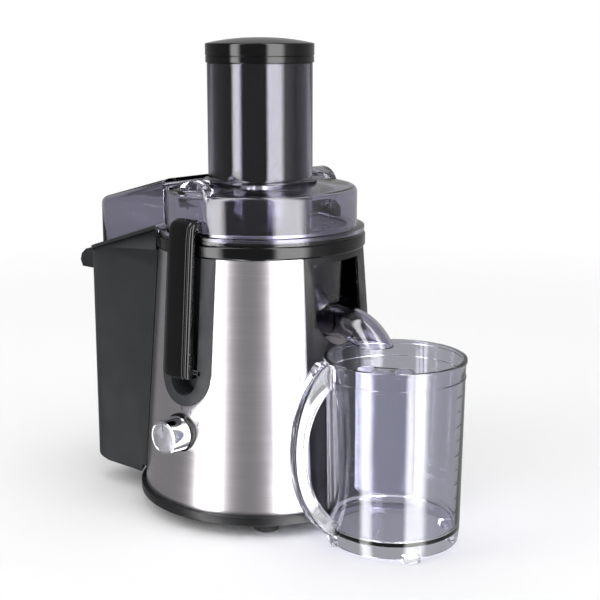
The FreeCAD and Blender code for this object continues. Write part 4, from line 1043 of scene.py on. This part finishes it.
# ------------------------------------------------------------- speed control
@dataclass
class SpeedControl:
    """The knob, the ring behind it and the printed dial."""

    body: MotorBody
    height: float = 81.0
    ring_face: float = 102.55
    knob_back: float = 103.05
    radius: float = 15.0
    length: float = 18.5
    bore: float = 3.0
    bore_depth: float = 12.0
    lip: float = 0.5
    ring_width: float = 1.5
    ring_depth: float = 5.5
    ring_bore: float = 4.0
    pointer_out: float = 8.6
    numbers: tuple[str, ...] = ("0", "1", "2")
    number_step: float = 30.0
    number_size: float = 5.6
    number_radius: float = 21.0
    number_lift: float = 0.12

    def facing(self, out: float) -> Matrix:
        """The place of a part whose own Z points out of the front."""
        return shifted(0, -out, self.height) @ turned(90, "X")

    def ring(self) -> None:
        """The polished ring round the knob's foot."""
        r = self.radius + self.ring_width
        bore, depth = self.ring_bore, self.ring_depth
        outline = rounded([(bore, 0, 0.2), (r, 0, 0.2), (r, depth, 0.9), (r - 2.2, depth, 0.4),
                           (r - 2.6, depth - self.lip, 0.2), (bore, depth - self.lip, 0.2)], 5)
        piece("dial_ring", moved(lathe(outline, 96), self.facing(self.ring_face - depth)),
              Finishes.GLOSS_BLACK, "root", ["knob_ring"])

    def knob(self) -> None:
        """The chrome knob, its satin face and the pointer let into it."""
        r = self.radius
        face = self.length
        floor = face - self.lip
        outline = rounded([(self.bore, 0, 0.1), (r - 0.3, 0, 0.3), (r, 0.8, 0.5),
                           (r - 0.7, face, 1.3), (r - 2.3, face, 0.5), (r - 2.6, floor, 0.2),
                           (0, floor, 0), (0, self.bore_depth, 0),
                           (self.bore, self.bore_depth, 0.1)], 6)
        place = self.facing(self.knob_back)
        piece("knob_shell", moved(lathe(outline, 96), place), Finishes.CHROME,
              "speed_knob", ["speed_knob"])
        plate = lathe(rounded([(0, floor, 0), (r - 2.7, floor, 0.05),
                               (r - 2.9, face - 0.1, 0.15), (0, face - 0.25, 0)], 3), 96)
        piece("knob_face", moved(plate, place), Finishes.SATIN_CHROME, "speed_knob")
        pointer = moved(block(0.6, 2.6, face - 0.6, face - 0.04, 0.15), shifted(0, self.pointer_out))
        piece("knob_pointer", moved(pointer, place), Finishes.PRINT, "speed_knob")
        dress("switch_shaft", Finishes.TURNED)

    def dial(self) -> None:
        """The settings, printed on the steel beside the knob."""
        whole = bmesh.new()
        for number, text in enumerate(self.numbers):
            turn = math.radians(self.number_step * number)
            curve = bpy.data.curves.new("digit", "FONT")
            curve.body = text
            curve.size = self.number_size
            curve.align_x = "CENTER"
            curve.align_y = "CENTER"
            curve.extrude = 0.03
            holder = bpy.data.objects.new("digit", curve)
            flat = bpy.data.meshes.new_from_object(holder)
            for vertex in flat.vertices:
                x = vertex.co.x + self.number_radius * math.sin(turn)
                z = vertex.co.y + self.number_radius * math.cos(turn) + self.height
                r = self.body.radius(z) + self.number_lift + vertex.co.z
                vertex.co = (x, -math.sqrt(r * r - x * x), z)
            whole.from_mesh(flat)
            bpy.data.objects.remove(holder)
            bpy.data.meshes.remove(flat)
        piece("dial_numbers", closed(whole), Finishes.PRINT, "root")

    def build(self) -> None:
        """Makes the control."""
        self.ring()
        self.knob()
        self.dial()


# -------------------------------------------------------------- juicing set
@dataclass
class JuicingSet:
    """Bowl, filter, lid, feed tube and pusher."""

    tube_radius: float = 45.2
    tube_wall: float = 2.4
    tube_ring: float = 3.8
    tube_ring_height: float = 1.6
    pusher_gap: float = 2.0
    pusher_wall: float = 2.5
    cap_seam: float = 5.2
    crown: float = 286.0
    tube_top: float = 386.0
    floor: float = 205.0
    basket_radius: float = 78.0
    basket_top: float = 247.0
    seat: float = 42.0
    hole_radius: float = 0.75
    hole_rows: tuple[int, int] = (110, 15)
    tooth_rows: tuple[int, int] = (30, 5)
    hub: float = 8.0
    grater_height: float = 1.5
    cap_radius: float = 46.6
    cap_edge: float = 402.0
    cap_rise: float = 5.0

    def bowl(self) -> None:
        """The smoked bowl and lid."""
        from_cad("bowl_shell", "juice_bowl", 0.35, Finishes.SMOKED_WALL, "root")
        from_cad("lid_dome", "lid", 0.4, Finishes.SMOKED_WALL, "root")

    def tube(self) -> None:
        """The feed tube with its seat ring."""
        r = self.tube_radius
        low, _ = measured("feed_tube")
        ring = r + self.tube_ring
        ring_top = self.crown + self.tube_ring_height
        outline = rounded([(r - self.tube_wall, low.z, 0.4), (r, low.z, 0.4),
                           (r, self.crown, 0.1), (ring, self.crown, 0.3),
                           (ring, ring_top, 0.7), (r + 0.8, ring_top + 0.7, 0.4),
                           (r, ring_top + 1.8, 0.5), (r, self.tube_top, 0.9),
                           (r - self.tube_wall, self.tube_top, 0.9)], 5)
        piece("feed_chimney", lathe(outline, 160), Finishes.SMOKED, "root",
              ["feed_tube"])

    def pusher(self) -> None:
        """The hollow pusher with its two key ribs, and the crowned cap."""
        low, _ = measured("pusher_body")
        r = self.tube_radius - self.tube_wall - self.pusher_gap
        inner = r - self.pusher_wall
        outline = rounded([(0, low.z, 0), (r - 1, low.z, 2.0), (r, low.z + 4, 3.0),
                           (r, self.tube_top, 0.2), (inner, self.tube_top, 0.2),
                           (inner, low.z + 3, 1.0), (0, low.z + 3, 0)], 5)
        ribs = ConeArray(2, 1, (r - 0.2, low.z + 90), (r - 0.2, low.z + 91))
        rib = block(2.0, 76.0, 0.0, 1.4, 0.5)
        whole = joined(lathe(outline, 128), ribs.bake(rib, Finishes.DARK_SMOKED))
        piece("pusher_tube", whole, Finishes.DARK_SMOKED, "pusher",
              ["pusher_body"])
        c = self.cap_radius
        top = self.tube_top
        seam = top + self.cap_seam
        edge = self.cap_edge
        crown = [(c * share, edge + self.cap_rise * (1 - share ** 2.2), 0)
                 for share in (0.93, 0.8, 0.62, 0.45, 0.28, 0.12, 0.0)]
        outline = rounded([(0, top - 6, 0), (inner - 0.1, top - 6, 0.5), (inner - 0.1, top, 0.2),
                           (c - 0.2, top, 0.5), (c - 0.2, seam, 0.25),
                           (c - 0.8, seam + 0.2, 0.1), (c - 0.8, seam + 0.5, 0.1),
                           (c, seam + 0.7, 0.25), (c, edge, 1.1)] + crown, 5)
        piece("pusher_lid", lathe(outline, 160), Finishes.GLOSS_BLACK, "pusher",
              ["pusher_cap"])

    def filter(self) -> None:
        """The pressed filter cone, dark discs of painted shade for its holes, its rim and grater
        teeth.
        """
        z = self.floor
        r = self.basket_radius
        seat = self.seat
        cone = rounded([(seat - 3, z - 0.8, 0.1), (seat + 0.8, z - 0.8, 0.4),
                        (r, self.basket_top - 1, 0.1), (r, self.basket_top, 0.1),
                        (r - 0.8, self.basket_top, 0.1), (seat, z, 0.3), (seat - 3, z, 0.1)], 3)
        piece("filter_sheet", lathe(cone, 128), Finishes.FILTER_STEEL, "rotor",
              ["filter_cone"])
        # The holes are not cut: dark discs of painted shade lie on the cone in their place.
        hole_shade = lathe([(0, -0.05), (self.hole_radius, -0.05), (self.hole_radius, 0.08),
                      (0, 0.08)], 6)
        rows = ConeArray(*self.hole_rows, (seat + 4, z + 3), (r - 3, self.basket_top - 6),
                         stagger=0.5)
        piece("filter_hole_shade", rows.bake(hole_shade, Finishes.HOLE_SHADE), Finishes.HOLE_SHADE, "rotor")
        rim = rounded([(r, self.basket_top - 4, 0.3), (r + 1, self.basket_top - 4, 0.3),
                       (r + 1, self.basket_top + 1.5, 0.7), (r - 3, self.basket_top + 1.5, 0.4),
                       (r - 3, self.basket_top, 0.2), (r, self.basket_top, 0)], 4)
        piece("filter_rim", lathe(rim, 128), Finishes.FILTER_STEEL, "rotor",
              ["basket_rim"])
        top = z + self.grater_height
        disc = lathe(rounded([(self.hub, z, 0.2), (seat - 0.4, z, 0.2), (seat - 0.4, top, 0.5),
                              (self.hub, top, 0.5)], 3), 96)
        tooth = block(0.9, 1.5, -0.2, 1.1, 0.3, 0.35)
        teeth = ConeArray(*self.tooth_rows, (seat - 5, top), (self.hub + 6, top), stagger=0.5)
        piece("grater", joined(disc, teeth.bake(tooth, Finishes.FILTER_STEEL)),
              Finishes.FILTER_STEEL, "rotor", ["grater_disc"])

    def build(self) -> None:
        """Makes the whole set."""
        self.bowl()
        self.tube()
        self.pusher()
        self.filter()


# ---------------------------------------------------------- pulp container
@dataclass
class PulpContainer:
    """The container behind the body, with its grip."""

    edge: float = 0.9

    def build(self) -> None:
        """Makes the container with rounded mould edges."""
        from_cad("pulp_bin", "pulp_container", self.edge, Finishes.CONTAINER,
                 "pulp_container")


# --------------------------------------------------------------------- jug
@dataclass
class Jug:
    """The clear jug, its handle and the froth separator."""

    x: float = 156.0
    y: float = -10.0
    low_radius: float = 55.0
    top_radius: float = 57.0
    wall: float = 2.2
    foot: float = 4.5
    floor: float = 14.0
    rim: float = 156.5
    foot_angle: float = -36.0
    rim_height: float = 3.5
    band: Flat = (140.0, 142.0)
    band_proud: float = 0.5
    scale_low: float = 34.0
    scale_high: float = 130.0
    scale_angle: float = 12.0

    def place(self) -> Matrix:
        """The jug's place."""
        return shifted(self.x, self.y)

    def radius(self, z: float) -> float:
        """The wall's outer radius at a height."""
        share = (z - self.floor) / (self.rim - self.rim_height - self.floor)
        return self.low_radius + (self.top_radius - self.low_radius) * share

    def shell(self) -> None:
        """Wall, rim bead, band, floor, skirt and feet in one moulding."""
        low, top, rim, w = self.low_radius, self.top_radius, self.rim, self.wall
        bead = rim - self.rim_height
        low_z, high_z = self.band
        band_low, band_high = self.radius(low_z), self.radius(high_z)
        outline = rounded([
            (0, self.floor, 0), (low - 4, self.floor, 0.6), (low - 4, self.foot, 0.5),
            (low - 1, self.foot, 0.8), (low, self.floor, 1.5),
            (band_low, low_z, 0.2), (band_low + self.band_proud, low_z + 0.6, 0.3),
            (band_high + self.band_proud, high_z, 0.3), (band_high, high_z + 0.6, 0.2),
            (top, bead, 0.5), (top + 1, bead, 0.6), (top + 1, rim - 0.4, 0.9),
            (top - 0.4, rim, 0.6), (top - w, rim, 0.7), (low - w, self.floor + w + 0.6, 4.0),
            (0, self.floor + w + 0.6, 0)], 6)
        feet = ConeArray(4, 1, (low - 5.3, self.foot + 2), (low - 4.3, self.foot + 2),
                         start=self.foot_angle)
        pad = block(7.0, 3.6, 0.0, self.foot + 2, 0.8)
        whole = joined(lathe(outline, 160), feet.bake(pad, Finishes.JUG))
        piece("jug_shell", moved(whole, self.place()), Finishes.JUG, "jug",
              ["jug_body"])

    def scale(self) -> None:
        """Short ticks of the measuring scale, printed on the wall."""
        tick = block(3.2, 0.35, -0.02, 0.12, 0.03)
        long_tick = block(5.4, 0.4, -0.02, 0.12, 0.03)
        low = (self.radius(self.scale_low), self.scale_low)
        high = (self.radius(self.scale_high), self.scale_high)
        small = ConeArray(1, 9, low, high, start=self.scale_angle)
        large = ConeArray(1, 5, low, high, start=self.scale_angle)
        whole = joined(small.bake(tick, Finishes.PRINT), large.bake(long_tick, Finishes.PRINT))
        piece("jug_scale", moved(whole, self.place()), Finishes.PRINT, "jug")

    def build(self) -> None:
        """Makes the jug's pieces."""
        self.shell()
        self.scale()
        from_cad("jug_grip", "jug_handle", 0.5, Finishes.JUG, "jug")
        from_cad("froth_plate", "froth_separator", 0.3, Finishes.JUG, "froth_separator")


# ------------------------------------------------------------------ inside
@dataclass
class DriveTrain:
    """The motor and electrics, which keep their CAD shapes."""

    finishes: dict[str, Finishes] = field(default_factory=lambda: {
        "motor_stator": Finishes.LAMINATED, "armature": Finishes.LAMINATED,
        "field_coils": Finishes.COPPER, "commutator": Finishes.COPPER,
        "upper_bracket": Finishes.CAST, "lower_bracket": Finishes.CAST,
        "upper_bearing": Finishes.TURNED, "lower_bearing": Finishes.TURNED,
        "motor_bolts": Finishes.TURNED, "motor_shaft": Finishes.TURNED,
        "motor_mount_1": Finishes.RUBBER, "motor_mount_2": Finishes.RUBBER,
        "motor_mount_3": Finishes.RUBBER, "shaft_seal": Finishes.RUBBER,
        "motor_deck": Finishes.NYLON, "drive_coupling": Finishes.NYLON,
        "cooling_fan": Finishes.NYLON, "rotary_switch": Finishes.NYLON,
        "interlock_switch": Finishes.NYLON, "brush_holder_left": Finishes.NYLON,
        "brush_holder_right": Finishes.NYLON, "circuit_board": Finishes.BOARD,
        "capacitor": Finishes.SLEEVE})

    def build(self) -> None:
        """Dresses every node of the drive."""
        for node, finish in self.finishes.items():
            dress(node, finish)


# ------------------------------------------------------------------ studio
@dataclass
class Lamp:
    """A soft rectangular lamp, which polished faces don't mirror."""

    name: str
    place: Corner
    aim: Corner
    power: float
    wide: float
    tall: float

    def build(self) -> None:
        """Makes the lamp."""
        light = bpy.data.lights.new(self.name, "AREA")
        light.shape = "RECTANGLE"
        light.size = self.wide
        light.size_y = self.tall
        light.energy = self.power
        made = bpy.data.objects.new(self.name, light)
        made.location = self.place
        towards = Vector(self.aim) - Vector(self.place)
        made.rotation_euler = towards.to_track_quat("-Z", "Y").to_euler()
        made.visible_glossy = False
        bpy.context.scene.collection.objects.link(made)


@dataclass
class Studio:
    """Pale floor, soft light and the camera; lengths here are metres."""

    eye: Corner = (0.7449, -0.7989, 0.4109)
    forward: Corner = (-0.6443, 0.7360, -0.2079)
    lens: float = 75.55
    paper_reach: Flat = (0.55, 1.5)
    lamps: tuple[Lamp, ...] = (
        Lamp("key lamp", (-0.75, -1.35, 1.1), (0, 0, 0.15), 7.0, 0.8, 1.2),
        Lamp("fill lamp", (1.5, 0.1, 0.8), (0, 0, 0.15), 3.5, 0.7, 1.2),
        Lamp("top lamp", (-0.1, 0.2, 1.7), (0, 0, 0.1), 6.0, 1.4, 1.4),
    )
    soft_power: float = 0.72
    card_power: float = 10.0
    # The surroundings by compass angle, as shares of the card power: two pale cards with
    # dark cloth between them, so that polished faces show clean upright lights.
    surroundings: tuple[Flat, ...] = ((0.0, 0.03), (0.186, 0.032), (0.203, 1.0),
                                      (0.234, 1.0), (0.258, 0.034), (0.404, 0.034),
                                      (0.424, 1.0), (0.496, 1.0), (0.525, 0.12),
                                      (0.60, 0.05), (0.72, 0.05), (1.0, 0.03))

    def camera(self) -> None:
        """Makes the camera."""
        data = bpy.data.cameras.new("camera")
        data.lens = self.lens
        data.sensor_width = 36
        data.clip_start = 0.05
        made = bpy.data.objects.new("camera", data)
        made.location = self.eye
        made.rotation_euler = Vector(self.forward).to_track_quat("-Z", "Y").to_euler()
        bpy.context.scene.collection.objects.link(made)
        bpy.context.scene.camera = made

    def floor(self) -> None:
        """A pale floor sheet."""
        sheet = bmesh.new()
        bmesh.ops.create_grid(sheet, x_segments=8, y_segments=8, size=20.0)
        mesh = mesh_of(sheet, "studio_floor")
        made = bpy.data.objects.new("studio_floor", mesh)
        bpy.context.scene.collection.objects.link(made)
        paper = bpy.data.materials.new("white background paper")
        paper.use_nodes = True
        tree = paper.node_tree
        tree.nodes.clear()
        paper_face = add_node(tree, "ShaderNodeBsdfPrincipled",
                              {"Base Color": linear("fafafa"), "Roughness": 0.9,
                               "Specular IOR Level": 0.1}).outputs[0]
        white = add_node(tree, "ShaderNodeEmission",
                         {"Color": (1.0, 1.0, 1.0, 1.0), "Strength": 1.0}).outputs[0]
        where = add_node(tree, "ShaderNodeTexCoord").outputs["Object"]
        away = add_node(tree, "ShaderNodeVectorMath", {0: where},
                        operation="LENGTH").outputs["Value"]
        fade = add_node(tree, "ShaderNodeMapRange",
                        {"Value": away, "From Min": self.paper_reach[0],
                         "From Max": self.paper_reach[1]},
                        interpolation_type="SMOOTHSTEP").outputs["Result"]
        faded = add_node(tree, "ShaderNodeMixShader",
                         {0: fade, 1: paper_face, 2: white}).outputs[0]
        gone = add_node(tree, "ShaderNodeBsdfTransparent").outputs[0]
        mirrored = add_node(tree, "ShaderNodeLightPath").outputs["Is Glossy Ray"]
        shader = add_node(tree, "ShaderNodeMixShader", {0: mirrored, 1: faded, 2: gone})
        add_node(tree, "ShaderNodeOutputMaterial", {"Surface": shader.outputs[0]})
        mesh.materials.append(paper)

    def sky(self) -> None:
        """The soft surroundings: plain white to the camera, cards to reflections."""
        world = bpy.data.worlds.new("studio")
        bpy.context.scene.world = world
        world.use_nodes = True
        tree = world.node_tree
        tree.nodes.clear()
        where = add_node(tree, "ShaderNodeTexCoord").outputs["Generated"]
        parts = add_node(tree, "ShaderNodeSeparateXYZ", {0: where}).outputs
        angle = add_node(tree, "ShaderNodeMath", {0: parts[1], 1: parts[0]},
                         operation="ARCTAN2").outputs[0]
        share = add_node(tree, "ShaderNodeMath", {0: angle, 1: 1 / math.tau, 2: 0.5},
                         operation="MULTIPLY_ADD").outputs[0]
        ramp = add_node(tree, "ShaderNodeValToRGB", {0: share})
        stops = ramp.color_ramp.elements
        while len(stops) < len(self.surroundings):
            stops.new(0.5)
        for stop, (place, value) in zip(stops, self.surroundings):
            stop.position = place
            stop.color = (value, value, value, 1.0)
        cards = add_node(tree, "ShaderNodeBackground",
                         {"Color": ramp.outputs["Color"], "Strength": self.card_power})
        plain = add_node(tree, "ShaderNodeBackground",
                         {"Color": (1.0, 1.0, 1.0, 1.0), "Strength": 1.0})
        soft = add_node(tree, "ShaderNodeBackground",
                        {"Color": (1.0, 1.0, 1.0, 1.0), "Strength": self.soft_power})
        rays = add_node(tree, "ShaderNodeLightPath").outputs
        lit = add_node(tree, "ShaderNodeMixShader",
                       {0: rays["Is Diffuse Ray"], 1: plain.outputs[0], 2: soft.outputs[0]})
        mixed = add_node(tree, "ShaderNodeMixShader",
                         {0: rays["Is Glossy Ray"], 1: lit.outputs[0], 2: cards.outputs[0]})
        add_node(tree, "ShaderNodeOutputWorld", {"Surface": mixed.outputs[0]})

    def build(self) -> None:
        """Makes the studio."""
        self.camera()
        self.floor()
        self.sky()
        for lamp in self.lamps:
            lamp.build()
        bpy.context.scene.view_settings.view_transform = "Standard"


def main() -> None:
    """Builds the juicer and its studio."""
    logging.basicConfig(level=logging.INFO, format="%(name)s: %(message)s")
    body = MotorBody()
    builders = [Studio(), body, LockingArm(body, "front", 0), LockingArm(body, "back", 180),
                SpeedControl(body), JuicingSet(), PulpContainer(), Jug(), DriveTrain()]
    for builder in builders:
        builder.build()
        log.info("%s done", type(builder).__name__)


if __name__ == "__main__":
    main()
